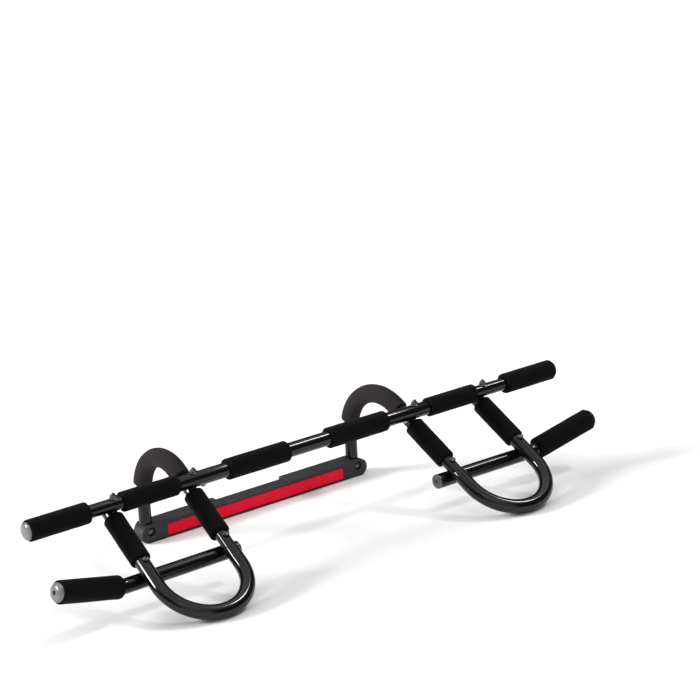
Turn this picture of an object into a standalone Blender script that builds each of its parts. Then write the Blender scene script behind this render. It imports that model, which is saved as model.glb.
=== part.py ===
"""Doorway pull-up bar with several grips, lying on its rail and on the bends of its two front handles.

Metres, +Z up, +X along the main bar, +Y towards the rail. The origin is the bottom centre of the whole frame.
"""

import math

import bmesh
import bpy
from mathutils import Matrix, Vector

# Clearances
GAP = 0.0003                    # between two faces that touch
HOLE_GAP = 0.0006               # round a bolt in its hole

# Tube stock: the thin tube slides into the thick one
THICK_TUBE_R = 0.0125
TUBE_WALL = 0.0012
THIN_TUBE_R = THICK_TUBE_R - TUBE_WALL - GAP
TUBE_SIDES = 16
ARC_SEGMENTS = 10

# Main bar, and the side frames whose arms cross under it
BAR_HALF = 0.550                # middle to the end of the end tube
HANDLE_WIDTH = 0.1556           # between the axes of a handle's two arms
BAR_BEYOND_ARM = 0.1608
CENTER_TUBE_BEYOND_ARM = 0.0254
LEFT_SLIDE = 0.006              # how much further out the centre tube's left end and its grip sit
OUTER_ARM_X = BAR_HALF - BAR_BEYOND_ARM
INNER_ARM_X = OUTER_ARM_X - HANDLE_WIDTH
CENTER_TUBE_HALF = INNER_ARM_X + CENTER_TUBE_BEYOND_ARM
END_TUBE_OVERLAP = 0.079        # length of the end tube inside the centre tube
BAR_CAP_RIM = 0.0025
BAR_CAP_R = THICK_TUBE_R + BAR_CAP_RIM
BAR_CAP_DEPTH = 0.0065

# Foam grips on the main bar: the nearer and the further end from the middle
CENTER_GRIP_START = 0.0437
CENTER_GRIP_TO_ARM = 0.0665
MID_GRIP_FROM_INNER_ARM = 0.0289
MID_GRIP_FROM_OUTER_ARM = 0.0214
CENTER_GRIP_ENDS = (CENTER_GRIP_START, INNER_ARM_X - CENTER_GRIP_TO_ARM)
MID_GRIP_ENDS = (INNER_ARM_X + MID_GRIP_FROM_INNER_ARM, OUTER_ARM_X - MID_GRIP_FROM_OUTER_ARM)
OUTER_GRIP_LENGTH = 0.1105
OUTER_GRIP_ENDS = (BAR_HALF - GAP - OUTER_GRIP_LENGTH, BAR_HALF - GAP)
BAR_GRIP_FOAM = 0.0053
MID_GRIP_FOAM = 0.0041
BAR_GRIP_R = THICK_TUBE_R + BAR_GRIP_FOAM
MID_GRIP_R = THICK_TUBE_R + MID_GRIP_FOAM
GRIP_ROUND = 0.0025

# Side frames
LOWER_AT = 0.1074               # the lower bar's place along the arms, from under the main bar
ARM_SLOPE = math.radians(30.4)
TOE_OUT = math.radians(3.78)    # the arms spread towards the front
LOWER_TO_BEND = 0.0414
LOWER_TO_JOINT = 0.0121
INNER_GRIP_TO_LOWER = 0.0209
OUTER_GRIP_TO_LOWER = 0.0179
ARM_STRAIGHT = LOWER_AT + LOWER_TO_BEND     # mean length from under the bar to the bend of the handle
ARM_TAIL = 0.022                # handle tube left behind the bar
JOINT_AT = LOWER_AT + LOWER_TO_JOINT        # where the hook tube enters the handle tube
JOINT_DEPTH = 0.028
ARM_GRIP_FOAM = 0.00475
ARM_GRIP_R = THICK_TUBE_R + ARM_GRIP_FOAM
INNER_ARM_GRIP_END = LOWER_AT - INNER_GRIP_TO_LOWER
OUTER_ARM_GRIP_END = LOWER_AT - OUTER_GRIP_TO_LOWER
GRIP_SLACK = 0.0002             # further room between an arm's grip and the bar

# Hook: over the wall and down into the rail
HOOK_BACK = 0.1677              # bar axis to the upright tube
HOOK_BEND_R = 0.0791
HOOK_FOOT = 0.0045
SLEEVE_FOAM = 0.0038
SLEEVE_R = THICK_TUBE_R + SLEEVE_FOAM
SLEEVE_LIFT = 0.0155            # the sleeve's end on the upright tube, above the hook's centre
SLEEVE_UPPER_END = 0.0420       # along the tube from under the bar to the sleeve's other end

# Lower bars
LOWER_BEYOND_INNER = 0.0196
LOWER_BEYOND_OUTER = 0.0441
LOWER_INNER_X = INNER_ARM_X - LOWER_BEYOND_INNER
LOWER_BEND_X = OUTER_ARM_X + LOWER_BEYOND_OUTER
LOWER_BEND_R = 0.035
LOWER_DIRECTION = (0.9683, -0.0788, 0.2371)
LOWER_TIP = 0.1280              # bend to the end of the tube
LOWER_GRIP_START = 0.0084
LOWER_GRIP_FOAM = 0.0065
LOWER_CAP_RIM = 0.0030
LOWER_GRIP_R = THICK_TUBE_R + LOWER_GRIP_FOAM
LOWER_CAP_R = THICK_TUBE_R + LOWER_CAP_RIM
LOWER_CAP_DEPTH = 0.0085
LOWER_CAP_HOLE_R = 0.0038
PLUG_FLANGE = 0.003
PLUG_STEM = 0.008

# Bolts
BOLT_R = 0.003
BOLT_HEAD_R = 0.0058
BOLT_HEAD = 0.003
NUT_R = 0.0058
NUT = 0.0042
NUT_FLANGE_R = 0.0064
NUT_FLANGE = 0.0012
THIN_NUT = 0.0036
BOLT_TIP = 0.0036
BAR_BOLT_LEAN = math.radians(6.0)
ARM_BOLT_LEAN = math.radians(16.0)

# Snap buttons that lock the end tubes in the centre tube
BUTTON_TO_ARM = 0.0196
BUTTON_X = INNER_ARM_X - BUTTON_TO_ARM
BUTTON_R = 0.0045
BUTTON_PROUD = 0.004
BUTTON_FLANGE_R = 0.0060
BUTTON_FLANGE = 0.0012
SPRING_THICK = 0.0008
SPRING_WIDTH = 0.006
SPRING_LENGTH = 0.032

# Rail
RAIL_DEPTH = 0.0345
RAIL_FRONT = HOOK_BACK - RAIL_DEPTH / 2
RAIL_HEIGHT = 0.0310
RAIL_MIDDLE_HALF = 0.072
RAIL_STEP = 0.0035
FOOT_X = INNER_ARM_X - HOOK_BACK * math.tan(TOE_OUT)    # where the upright tube stands in the rail
RAIL_BEYOND_FOOT = 0.0199
RAIL_END_X = FOOT_X + RAIL_BEYOND_FOOT
RAIL_ROUND_R = RAIL_HEIGHT / 2
RAIL_BOLT_LIFT = 0.0038         # above the middle of the rail's height
RAIL_BOLT_Z = RAIL_HEIGHT / 2 + RAIL_BOLT_LIFT
COUNTERBORE_R = 0.0080
COUNTERBORE_FLOOR = 0.0014      # wall left between the counterbore and the tube's socket
COUNTERBORE = RAIL_DEPTH / 2 - THIN_TUBE_R - GAP - COUNTERBORE_FLOOR
STRIP_TO_FOOT = 0.0328
STRIP_HALF = FOOT_X - STRIP_TO_FOOT
STRIP_LOW = 0.0038
STRIP_TOP_EDGE = 0.0024
STRIP_HIGH = RAIL_HEIGHT - RAIL_STEP - STRIP_TOP_EDGE
STRIP_THICK = 0.0022
CORE_TO_FOOT = 0.0265
CORE_HALF = FOOT_X - CORE_TO_FOOT
CORE_HIGH = 0.014
CORE_DEEP = 0.012
CORE_WALL = 0.0015
CORE_BELOW_MIDDLE = 0.001
CORE_BACK = 0.0185
CORE_Z = RAIL_HEIGHT / 2 - CORE_BELOW_MIDDLE
CORE_Y = RAIL_FRONT + CORE_BACK

# Sizes that follow from the others
SEAT = THICK_TUBE_R + THIN_TUBE_R + GAP         # thick tube across a thin one
DOUBLE_SEAT = 2 * THICK_TUBE_R + GAP            # thick tube across a thick one
ARM_DROP = SEAT / math.cos(ARM_SLOPE)           # bar axis down to the arm axis
HANDLE_BEND_R = HANDLE_WIDTH / 2
GRIP_DROP = SEAT - ARM_GRIP_R                   # room between the bar's axis and the skin of an arm's grip
BAR_SHADOW = ARM_DROP * math.sin(ARM_SLOPE)     # how far back along the arm the bar's axis lies
BAR_Z = ARM_DROP + math.sin(ARM_SLOPE) * (ARM_STRAIGHT + HANDLE_BEND_R) + THICK_TUBE_R
HANDLE_REACH = (ARM_STRAIGHT + HANDLE_BEND_R) * math.cos(ARM_SLOPE) * math.cos(TOE_OUT)
FRAME_FRONT = HANDLE_REACH + THICK_TUBE_R
FRAME_BACK = RAIL_FRONT + RAIL_DEPTH
FRAME_SHIFT = (FRAME_FRONT - FRAME_BACK) / 2    # brings the frame's middle to the origin


def grip_near_end(bar_r):
    """How far along an arm its grip starts, so that it clears the bar that the arm passes under."""
    return -BAR_SHADOW + math.sqrt(max(0.0, (bar_r + GAP) ** 2 - GRIP_DROP ** 2)) + GRIP_SLACK


INNER_ARM_GRIP = (grip_near_end(THICK_TUBE_R), INNER_ARM_GRIP_END)
OUTER_ARM_GRIP = (grip_near_end(THIN_TUBE_R), OUTER_ARM_GRIP_END)

PARTS = "pull_up_bar"
CUTTERS = "cutters"

# Colour, metallic, roughness
FINISHES = {
    "tube_black": ((0.012, 0.012, 0.013), 0.0, 0.16),
    "foam_black": ((0.022, 0.022, 0.022), 0.0, 0.92),
    "foam_grey": ((0.075, 0.068, 0.070), 0.0, 0.95),
    "rail_charcoal": ((0.060, 0.058, 0.064), 0.0, 0.60),
    "strip_red": ((0.580, 0.004, 0.026), 0.0, 0.50),
    "cap_silver": ((0.480, 0.470, 0.480), 0.3, 0.32),
    "cap_black": ((0.020, 0.020, 0.021), 0.0, 0.40),
    "zinc_dark": ((0.160, 0.155, 0.160), 0.9, 0.35),
    "steel_plain": ((0.450, 0.450, 0.460), 1.0, 0.35),
}


def clear_scene():
    for obj in list(bpy.data.objects):
        bpy.data.objects.remove(obj)
    for name in (PARTS, CUTTERS):
        collection = bpy.data.collections.new(name)
        bpy.context.scene.collection.children.link(collection)
    bpy.data.collections[CUTTERS].hide_render = True


def finish_material(node, finish):
    colour, metallic, roughness = FINISHES[finish]
    material = bpy.data.materials.new(node)
    material.use_nodes = True
    shader = material.node_tree.nodes["Principled BSDF"]
    shader.inputs["Base Color"].default_value = (*colour, 1.0)
    shader.inputs["Metallic"].default_value = metallic
    shader.inputs["Roughness"].default_value = roughness
    return material


def add_empty(name, location, parent=None):
    empty = bpy.data.objects.new(name, None)
    empty.location = location
    empty.parent = parent
    bpy.data.collections[PARTS].objects.link(empty)
    return empty


def add_part(name, mesh, finish, parent, location=(0, 0, 0), direction=None):
    """Links one sub-part, with its local +Z turned to the direction if one is given."""
    obj = bpy.data.objects.new(name, mesh)
    obj.parent = parent
    obj.location = location
    if direction is not None:
        obj.rotation_euler = Vector(direction).to_track_quat("Z", "Y").to_euler()
    mesh.materials.clear()
    mesh.materials.append(finish_material(name, finish))
    mesh.shade_smooth()
    mesh.set_sharp_from_angle(angle=math.radians(40))
    bpy.data.collections[PARTS].objects.link(obj)
    return obj


def mesh_of(obj):
    """The evaluated mesh of a helper object, welded, with the helper removed."""
    bpy.context.view_layer.update()
    evaluated = obj.evaluated_get(bpy.context.evaluated_depsgraph_get())
    mesh = bpy.data.meshes.new_from_object(evaluated)
    shape = bmesh.new()
    shape.from_mesh(mesh)
    bmesh.ops.remove_doubles(shape, verts=shape.verts, dist=0.00002)
    shape.to_mesh(mesh)
    shape.free()
    bpy.data.objects.remove(obj)
    return mesh


def turned_mesh(profile, sides, closed):
    """A mesh turned about +Z: profile points are (radius, height), from top to bottom on the outer side."""
    mesh = bpy.data.meshes.new("profile")
    shape = bmesh.new()
    verts = [shape.verts.new((radius, 0.0, height)) for radius, height in profile]
    for first, second in zip(verts, verts[1:]):
        shape.edges.new((first, second))
    if closed:
        shape.edges.new((verts[-1], verts[0]))
    shape.to_mesh(mesh)
    shape.free()
    helper = bpy.data.objects.new("profile", mesh)
    bpy.data.collections[PARTS].objects.link(helper)
    screw = helper.modifiers.new("turn", "SCREW")
    screw.axis = "Z"
    screw.angle = math.tau
    screw.steps = sides
    screw.render_steps = sides
    screw.use_merge_vertices = True
    screw.merge_threshold = 0.00001
    return mesh_of(helper)


def ring_mesh(outer, inner, low, high, sides=TUBE_SIDES, round_by=0.0):
    """A sleeve about +Z between two heights, with its outer edges cut back by round_by."""
    outside = [(outer, high), (outer, low)]
    if round_by:
        outside = [
            (outer - round_by, high),
            (outer, high - round_by),
            (outer, low + round_by),
            (outer - round_by, low),
        ]
    return turned_mesh(outside + [(inner, low), (inner, high)], sides, closed=True)


def rod_mesh(profile, sides=TUBE_SIDES):
    """A solid turned piece: the profile starts and ends on the axis."""
    return turned_mesh(profile, sides, closed=False)


def outline_mesh(outline, half_thickness):
    """A flat outline in local XY, as thick as twice half_thickness along local Z."""
    curve = bpy.data.curves.new("outline", "CURVE")
    curve.dimensions = "2D"
    curve.fill_mode = "BOTH"
    curve.extrude = half_thickness
    spline = curve.splines.new("POLY")
    spline.points.add(len(outline) - 1)
    for point, (x, y) in zip(spline.points, outline):
        point.co = (x, y, 0.0, 1.0)
    spline.use_cyclic_u = True
    helper = bpy.data.objects.new("outline", curve)
    bpy.data.collections[PARTS].objects.link(helper)
    return mesh_of(helper)


def box_mesh(size):
    mesh = bpy.data.meshes.new("box")
    shape = bmesh.new()
    bmesh.ops.create_cube(shape, size=1.0, matrix=Matrix.Diagonal((*size, 1.0)))
    shape.to_mesh(mesh)
    shape.free()
    return mesh


def path_mesh(points, radius):
    """The open skin of a round tube along the points."""
    curve = bpy.data.curves.new("path", "CURVE")
    curve.dimensions = "3D"
    curve.bevel_depth = radius
    curve.bevel_resolution = (TUBE_SIDES - 4) // 2
    curve.twist_mode = "MINIMUM"
    spline = curve.splines.new("POLY")
    spline.points.add(len(points) - 1)
    for point, place in zip(spline.points, points):
        point.co = (*place, 1.0)
    helper = bpy.data.objects.new("path", curve)
    bpy.data.collections[PARTS].objects.link(helper)
    return mesh_of(helper)


def add_wall(obj, wall):
    solid = obj.modifiers.new("wall", "SOLIDIFY")
    solid.thickness = wall
    solid.offset = -1.0
    solid.use_even_offset = True


def cut(obj, mesh, location, direction=None, parent=None):
    """Takes the shape of the mesh out of the object."""
    cutter = bpy.data.objects.new(obj.name + "_cutter", mesh)
    cutter.parent = parent if parent is not None else obj.parent
    cutter.location = location
    if direction is not None:
        cutter.rotation_euler = Vector(direction).to_track_quat("Z", "Y").to_euler()
    cutter.hide_render = True
    cutter.display_type = "WIRE"
    bpy.data.collections[CUTTERS].objects.link(cutter)
    boolean = obj.modifiers.new("cut", "BOOLEAN")
    boolean.operation = "DIFFERENCE"
    boolean.object = cutter


def drill(obj, point, direction, reach, radius=BOLT_R + HOLE_GAP, sides=12):
    """Drills a round hole through the object, reach to each side of the point."""
    profile = [(0.0, reach), (radius, reach), (radius, -reach), (0.0, -reach)]
    cut(obj, rod_mesh(profile, sides), point, direction)


def arc_points(center, start, end, segments=ARC_SEGMENTS):
    """Points from start towards end on the circle round the center, both in the plane of the arc."""
    first = start - center
    second = end - center
    angle = first.angle(second)
    across = (second - first * (first.dot(second) / first.length_squared)).normalized() * first.length
    steps = [angle * index / segments for index in range(segments + 1)]
    return [center + first * math.cos(step) + across * math.sin(step) for step in steps]


class Side:
    """The geometry of one side frame: the directions of its arms and its bolts."""

    def __init__(self, name, sign):
        self.name = name
        self.sign = sign
        forward = Vector((sign * math.sin(TOE_OUT), -math.cos(TOE_OUT), 0.0))
        self.back = -forward
        self.arm = forward * math.cos(ARM_SLOPE) - Vector((0, 0, math.sin(ARM_SLOPE)))
        self.arm_under = self.back * math.sin(ARM_SLOPE) - Vector((0, 0, math.cos(ARM_SLOPE)))
        self.bar_bolt = Vector((0.0, -math.sin(BAR_BOLT_LEAN), math.cos(BAR_BOLT_LEAN)))
        self.arm_bolt = Vector((0.0, -math.sin(ARM_BOLT_LEAN), math.cos(ARM_BOLT_LEAN)))
        self.inner_base = Vector((sign * INNER_ARM_X, 0.0, BAR_Z - ARM_DROP))
        self.outer_base = Vector((sign * OUTER_ARM_X, 0.0, BAR_Z - ARM_DROP))

    def inner(self, along):
        return self.inner_base + self.arm * along

    def outer(self, along):
        return self.outer_base + self.arm * along

    def bend_starts(self):
        """Where the two straights of the handle meet its bend, square to the arms."""
        skew = (self.outer_base - self.inner_base).dot(self.arm) / 2
        return self.inner(ARM_STRAIGHT + skew), self.outer(ARM_STRAIGHT - skew)

    def hook_plane(self, distance, height):
        return Vector((self.inner_base.x, 0.0, height)) + self.back * distance

    def hook_arc(self):
        """The center, the start on the arm's line and the end on the upright of the hook's bend."""
        upright = HOOK_BACK / math.cos(TOE_OUT)
        center_y = upright - HOOK_BEND_R
        rise = (center_y - HOOK_BEND_R * math.sin(ARM_SLOPE)) * math.tan(ARM_SLOPE)
        center_z = self.inner_base.z + rise - HOOK_BEND_R * math.cos(ARM_SLOPE)
        center = self.hook_plane(center_y, center_z)
        return center, center - self.arm_under * HOOK_BEND_R, self.hook_plane(upright, center_z)

    def hook_bend(self):
        """The bend's points before, inside and after the sleeve, and the sleeve's own points."""
        center, start, end = self.hook_arc()
        outward = (end - center).normalized()
        sleeve_end = center + outward * math.sqrt(HOOK_BEND_R ** 2 - SLEEVE_LIFT ** 2) + Vector((0, 0, SLEEVE_LIFT))
        bare = arc_points(center, sleeve_end, end, 2)[1:]
        straight = (self.inner_base - start).dot(self.arm)
        if SLEEVE_UPPER_END < straight:
            covered = arc_points(center, start, sleeve_end)
            return [], covered, bare, [self.inner_base - self.arm * SLEEVE_UPPER_END] + covered
        first, across = start - center, -self.arm * HOOK_BEND_R
        turn = (SLEEVE_UPPER_END - straight) / HOOK_BEND_R
        sleeve_start = center + first * math.cos(turn) + across * math.sin(turn)
        covered = arc_points(center, sleeve_start, sleeve_end)
        return arc_points(center, start, sleeve_start, 2)[:-1], covered, bare, covered

    def lower_axis(self):
        """Two points of the lower bar's straight, where it lies under the inner and the outer arm."""
        return (
            self.inner(LOWER_AT) + self.arm_under * SEAT,
            self.outer(LOWER_AT) + self.arm_under * DOUBLE_SEAT,
        )

    def lower_point(self, x):
        first, second = self.lower_axis()
        share = (self.sign * x - first.x) / (second.x - first.x)
        return first.lerp(second, share)

    def lower_tip_direction(self):
        x, y, z = LOWER_DIRECTION
        return Vector((self.sign * x, y, z)).normalized()


def bolt_mesh(tip, seat):
    """A bolt about +Z, from its tip down to the domed head whose flat side is at the seat."""
    profile = [
        (0.0, tip),
        (BOLT_R * 0.8, tip),
        (BOLT_R, tip - 0.0006),
        (BOLT_R, seat),
        (BOLT_HEAD_R, seat),
        (BOLT_HEAD_R * 0.75, seat - BOLT_HEAD * 0.7),
        (0.0, seat - BOLT_HEAD),
    ]
    return rod_mesh(profile, 12)


def hex_nut_mesh(low, high):
    """A hexagon nut between two heights, with a bore whose flats clear the bolt."""
    return ring_mesh(NUT_R, (BOLT_R + GAP) / math.cos(math.pi / 6), low, high, 6)


def flange_nut_mesh(seat):
    """A hexagon nut on its round flange, about +Z, with the flange's flat side at the seat."""
    body = bpy.data.objects.new("nut", hex_nut_mesh(seat + NUT_FLANGE / 2, seat + NUT_FLANGE + NUT))
    flange = bpy.data.objects.new("flange", ring_mesh(NUT_FLANGE_R, BOLT_R + GAP, seat, seat + NUT_FLANGE, 12))
    for helper in (body, flange):
        bpy.data.collections[PARTS].objects.link(helper)
    join = body.modifiers.new("join", "BOOLEAN")
    join.operation = "UNION"
    join.object = flange
    mesh = mesh_of(body)
    bpy.data.objects.remove(flange)
    return mesh


def add_bolt(root, names, place, direction, head_seat, nut_seat):
    """A bolt through the place with its head behind it and its flange nut ahead of it along the direction."""
    tip = nut_seat + NUT_FLANGE + NUT + BOLT_TIP
    add_part(names[0], bolt_mesh(tip, -head_seat), "zinc_dark", root, place, direction)
    add_part(names[1], flange_nut_mesh(nut_seat), "zinc_dark", root, place, direction)


def make_main_bar(root, sides):
    wide = THICK_TUBE_R - TUBE_WALL
    axis_x = Vector((1, 0, 0))
    middle = Vector((0, 0, BAR_Z))
    center = ring_mesh(THICK_TUBE_R, wide, -CENTER_TUBE_HALF - LEFT_SLIDE, CENTER_TUBE_HALF)
    center_tube = add_part("center_tube", center, "tube_black", root, middle, axis_x)
    for side in sides:
        start = CENTER_TUBE_HALF - END_TUBE_OVERLAP
        tube = ring_mesh(THIN_TUBE_R, THIN_TUBE_R - TUBE_WALL, start, BAR_HALF)
        end_tube = add_part("end_tube_" + side.name, tube, "tube_black", root, middle, axis_x * side.sign)
        inner_bolt = Vector((side.sign * INNER_ARM_X, 0, BAR_Z))
        outer_bolt = Vector((side.sign * OUTER_ARM_X, 0, BAR_Z))
        button = Vector((side.sign * BUTTON_X, 0, BAR_Z - THICK_TUBE_R))
        for tube_object in (center_tube, end_tube):
            drill(tube_object, inner_bolt, side.bar_bolt, 2 * THICK_TUBE_R)
            drill(tube_object, button, (0, 0, 1), THICK_TUBE_R * 0.7, BUTTON_R + GAP)
        drill(end_tube, outer_bolt, side.bar_bolt, 2 * THICK_TUBE_R)
        make_bar_grips(root, side, middle, axis_x * side.sign)
        make_bar_cap(root, side)
        make_snap_button(root, side)


def make_bar_grips(root, side, middle, axis):
    slide = LEFT_SLIDE if side.sign < 0 else 0.0
    mid_ends = (MID_GRIP_ENDS[0] + slide, MID_GRIP_ENDS[1] + slide)
    grips = (
        ("bar_grip_center_", CENTER_GRIP_ENDS, BAR_GRIP_R, THICK_TUBE_R),
        ("bar_grip_mid_", mid_ends, MID_GRIP_R, THIN_TUBE_R),
        ("bar_grip_outer_", OUTER_GRIP_ENDS, BAR_GRIP_R, THIN_TUBE_R),
    )
    for name, (low, high), outer, tube in grips:
        mesh = ring_mesh(outer, tube + GAP, low, high, round_by=GRIP_ROUND)
        add_part(name + side.name, mesh, "foam_black", root, middle, axis)


def make_bar_cap(root, side):
    stem = THIN_TUBE_R - TUBE_WALL - GAP
    profile = [
        (0.0, BAR_CAP_DEPTH),
        (BAR_CAP_R * 0.60, BAR_CAP_DEPTH * 0.85),
        (BAR_CAP_R * 0.92, BAR_CAP_DEPTH * 0.50),
        (BAR_CAP_R, GAP),
        (stem, GAP),
        (stem, -PLUG_STEM),
        (0.0, -PLUG_STEM),
    ]
    finish = "cap_silver" if side.sign < 0 else "cap_black"
    end = Vector((side.sign * BAR_HALF, 0, BAR_Z))
    add_part("bar_end_cap_" + side.name, rod_mesh(profile), finish, root, end, (side.sign, 0, 0))


def make_snap_button(root, side):
    """A domed pin pushed out through both tubes from inside, and the folded leaf that pushes it."""
    bore = THIN_TUBE_R - TUBE_WALL
    rest = math.sqrt(bore ** 2 - BUTTON_FLANGE_R ** 2) - GAP - 0.0002
    tip = THICK_TUBE_R + BUTTON_PROUD
    profile = [
        (0.0, -rest + BUTTON_FLANGE),
        (BUTTON_FLANGE_R, -rest + BUTTON_FLANGE),
        (BUTTON_FLANGE_R, -rest),
        (BUTTON_R, -rest),
        (BUTTON_R, -tip + BUTTON_PROUD * 0.7),
        (BUTTON_R * 0.7, -tip + BUTTON_PROUD * 0.2),
        (0.0, -tip),
    ]
    axis = Vector((side.sign * BUTTON_X, 0, BAR_Z))
    add_part("snap_button_" + side.name, rod_mesh(profile), "steel_plain", root, axis)
    fold_x = -SPRING_LENGTH + BUTTON_FLANGE_R
    low = -rest + BUTTON_FLANGE + GAP
    high = math.sqrt(bore ** 2 - (SPRING_WIDTH / 2) ** 2) - GAP
    outline = [
        (fold_x, SPRING_THICK),
        (BUTTON_FLANGE_R, high),
        (BUTTON_FLANGE_R, high - SPRING_THICK),
        (fold_x + SPRING_THICK * 2, 0.0),
        (BUTTON_FLANGE_R, low + SPRING_THICK),
        (BUTTON_FLANGE_R, low),
        (fold_x, -SPRING_THICK),
    ]
    turned = [(x * side.sign, z) for x, z in outline]
    spring = outline_mesh(turned, SPRING_WIDTH / 2)
    node = add_part("snap_spring_" + side.name, spring, "steel_plain", root, axis)
    node.rotation_euler = (math.pi / 2, 0, 0)


def make_hook(root, side):
    """The thin tube from the handle joint, under the bar, over the hook and down into the rail."""
    center, start, end = side.hook_arc()
    foot = Vector((end.x, end.y, HOOK_FOOT))
    early, covered, bare, bend = side.hook_bend()
    points = [side.inner(JOINT_AT + JOINT_DEPTH)] + early + covered + bare + [foot]
    origin = side.inner_base
    skin = path_mesh([point - origin for point in points], THIN_TUBE_R)
    tube = add_part("hook_tube_" + side.name, skin, "tube_black", root, origin)
    add_wall(tube, TUBE_WALL)
    drill(tube, (side.inner_base.x, 0, BAR_Z), side.bar_bolt, 2 * SEAT)
    drill(tube, side.lower_axis()[0], side.arm_bolt, 2 * SEAT)
    drill(tube, (end.x, end.y, RAIL_BOLT_Z), (0, 1, 0), 2 * THIN_TUBE_R)
    sleeve_skin = path_mesh([point - origin for point in bend], SLEEVE_R)
    sleeve = add_part("hook_sleeve_" + side.name, sleeve_skin, "foam_grey", root, origin)
    add_wall(sleeve, SLEEVE_R - THIN_TUBE_R - GAP)


def bolt_shadow(lean, arm_r):
    """How far below the arm's axis a bolt head reaches, and the half length that it takes along the arm."""
    tilt = ARM_SLOPE - lean
    depth = (surface_reach(arm_r, lean, BOLT_HEAD_R) + BOLT_HEAD) * math.cos(tilt)
    return depth, BOLT_HEAD_R / math.cos(tilt) + HOLE_GAP


def cut_along_arm(grip, side, base, width, first, last, lift):
    """Cuts a box from the grip: it runs along the arm from first to last, above or below the arm's axis."""
    up = -side.arm_under
    turn = Matrix((side.arm.cross(up), side.arm, up)).transposed().to_4x4()
    mesh = box_mesh((width, last - first, abs(lift)))
    mesh.transform(turn)
    cut(grip, mesh, base + side.arm * ((first + last) / 2) + up * (lift / 2))


def notch_for_bolts(grip, side, base, ends, seat, arm_r):
    """Opens the grip's ends round the bolt under the bar and round the head of the bolt to the lower bar."""
    clear = 2 * ARM_GRIP_R
    head_width = 2 * (BOLT_HEAD_R + HOLE_GAP)
    near_tilt = math.tan(ARM_SLOPE - BAR_BOLT_LEAN)
    near = SEAT * near_tilt - ARM_DROP * math.sin(ARM_SLOPE)
    shank = near + BOLT_R / math.cos(ARM_SLOPE - BAR_BOLT_LEAN) + HOLE_GAP
    cut_along_arm(grip, side, base, 2 * (BOLT_R + HOLE_GAP), ends[0] - clear, shank, clear)
    depth, half = bolt_shadow(BAR_BOLT_LEAN, arm_r)
    cut_along_arm(grip, side, base, head_width, ends[0] - clear, near + depth * near_tilt + half, -clear)
    far_tilt = math.tan(ARM_SLOPE - ARM_BOLT_LEAN)
    depth, half = bolt_shadow(ARM_BOLT_LEAN, arm_r)
    far = LOWER_AT - (seat + depth) * far_tilt - half
    cut_along_arm(grip, side, base, head_width, far, ends[1] + clear, clear)


def make_arm_grips(root, side):
    grips = (
        ("arm_grip_inner_", side.inner(0.0), INNER_ARM_GRIP, SEAT, THIN_TUBE_R),
        ("arm_grip_outer_", side.outer(0.0), OUTER_ARM_GRIP, DOUBLE_SEAT, THICK_TUBE_R),
    )
    for name, base, ends, seat, tube in grips:
        mesh = ring_mesh(ARM_GRIP_R, tube + GAP, ends[0], ends[1], round_by=GRIP_ROUND)
        grip = add_part(name + side.name, mesh, "foam_black", root, base, side.arm)
        notch_for_bolts(grip, side, base, ends, seat, tube)


def make_handle(root, side):
    """The thick tube that runs round the front bend and back up under the bar."""
    inner_start, outer_start = side.bend_starts()
    center = (inner_start + outer_start) / 2
    top = center + side.arm * ((outer_start - inner_start).length / 2)
    first = arc_points(center, inner_start, top, ARC_SEGMENTS // 2)
    second = arc_points(center, top, outer_start, ARC_SEGMENTS // 2)
    points = [side.inner(JOINT_AT)] + first + second[1:] + [side.outer(-ARM_TAIL)]
    origin = side.outer_base
    skin = path_mesh([point - origin for point in points], THICK_TUBE_R)
    tube = add_part("handle_tube_" + side.name, skin, "tube_black", root, origin)
    add_wall(tube, TUBE_WALL)
    drill(tube, (side.outer_base.x, 0, BAR_Z), side.bar_bolt, 2 * SEAT)
    drill(tube, side.lower_axis()[1], side.arm_bolt, 2 * DOUBLE_SEAT)
    plug = plug_mesh(THICK_TUBE_R, 0.0)
    end = side.outer(-ARM_TAIL)
    add_part("handle_plug_" + side.name, plug, "cap_black", root, end, -side.arm)


def plug_mesh(flange_r, hole_r):
    """A flat plug for the end of a thick tube, its stem in the tube and its flange outside, about +Z."""
    stem = THICK_TUBE_R - TUBE_WALL - GAP
    profile = [
        (flange_r - 0.001, GAP + PLUG_FLANGE),
        (flange_r, GAP + PLUG_FLANGE - 0.001),
        (flange_r, GAP),
        (stem, GAP),
        (stem, -PLUG_STEM),
    ]
    if hole_r:
        floor = PLUG_FLANGE * 0.3
        return rod_mesh([(0, floor), (hole_r, floor), (hole_r, GAP + PLUG_FLANGE)] + profile + [(0, -PLUG_STEM)])
    return rod_mesh([(0, GAP + PLUG_FLANGE)] + profile + [(0, -PLUG_STEM)])


def dome_cap_mesh():
    """The domed cap at the tip of a lower bar, with a blind hole in the middle, about +Z."""
    stem = THICK_TUBE_R - TUBE_WALL - GAP
    profile = [
        (0.0, LOWER_CAP_DEPTH * 0.4),
        (LOWER_CAP_HOLE_R, LOWER_CAP_DEPTH * 0.4),
        (LOWER_CAP_HOLE_R, LOWER_CAP_DEPTH),
        (LOWER_CAP_R * 0.60, LOWER_CAP_DEPTH * 0.90),
        (LOWER_CAP_R * 0.88, LOWER_CAP_DEPTH * 0.62),
        (LOWER_CAP_R, GAP + 0.001),
        (LOWER_CAP_R, GAP),
        (stem, GAP),
        (stem, -PLUG_STEM),
        (0.0, -PLUG_STEM),
    ]
    return rod_mesh(profile)


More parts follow.
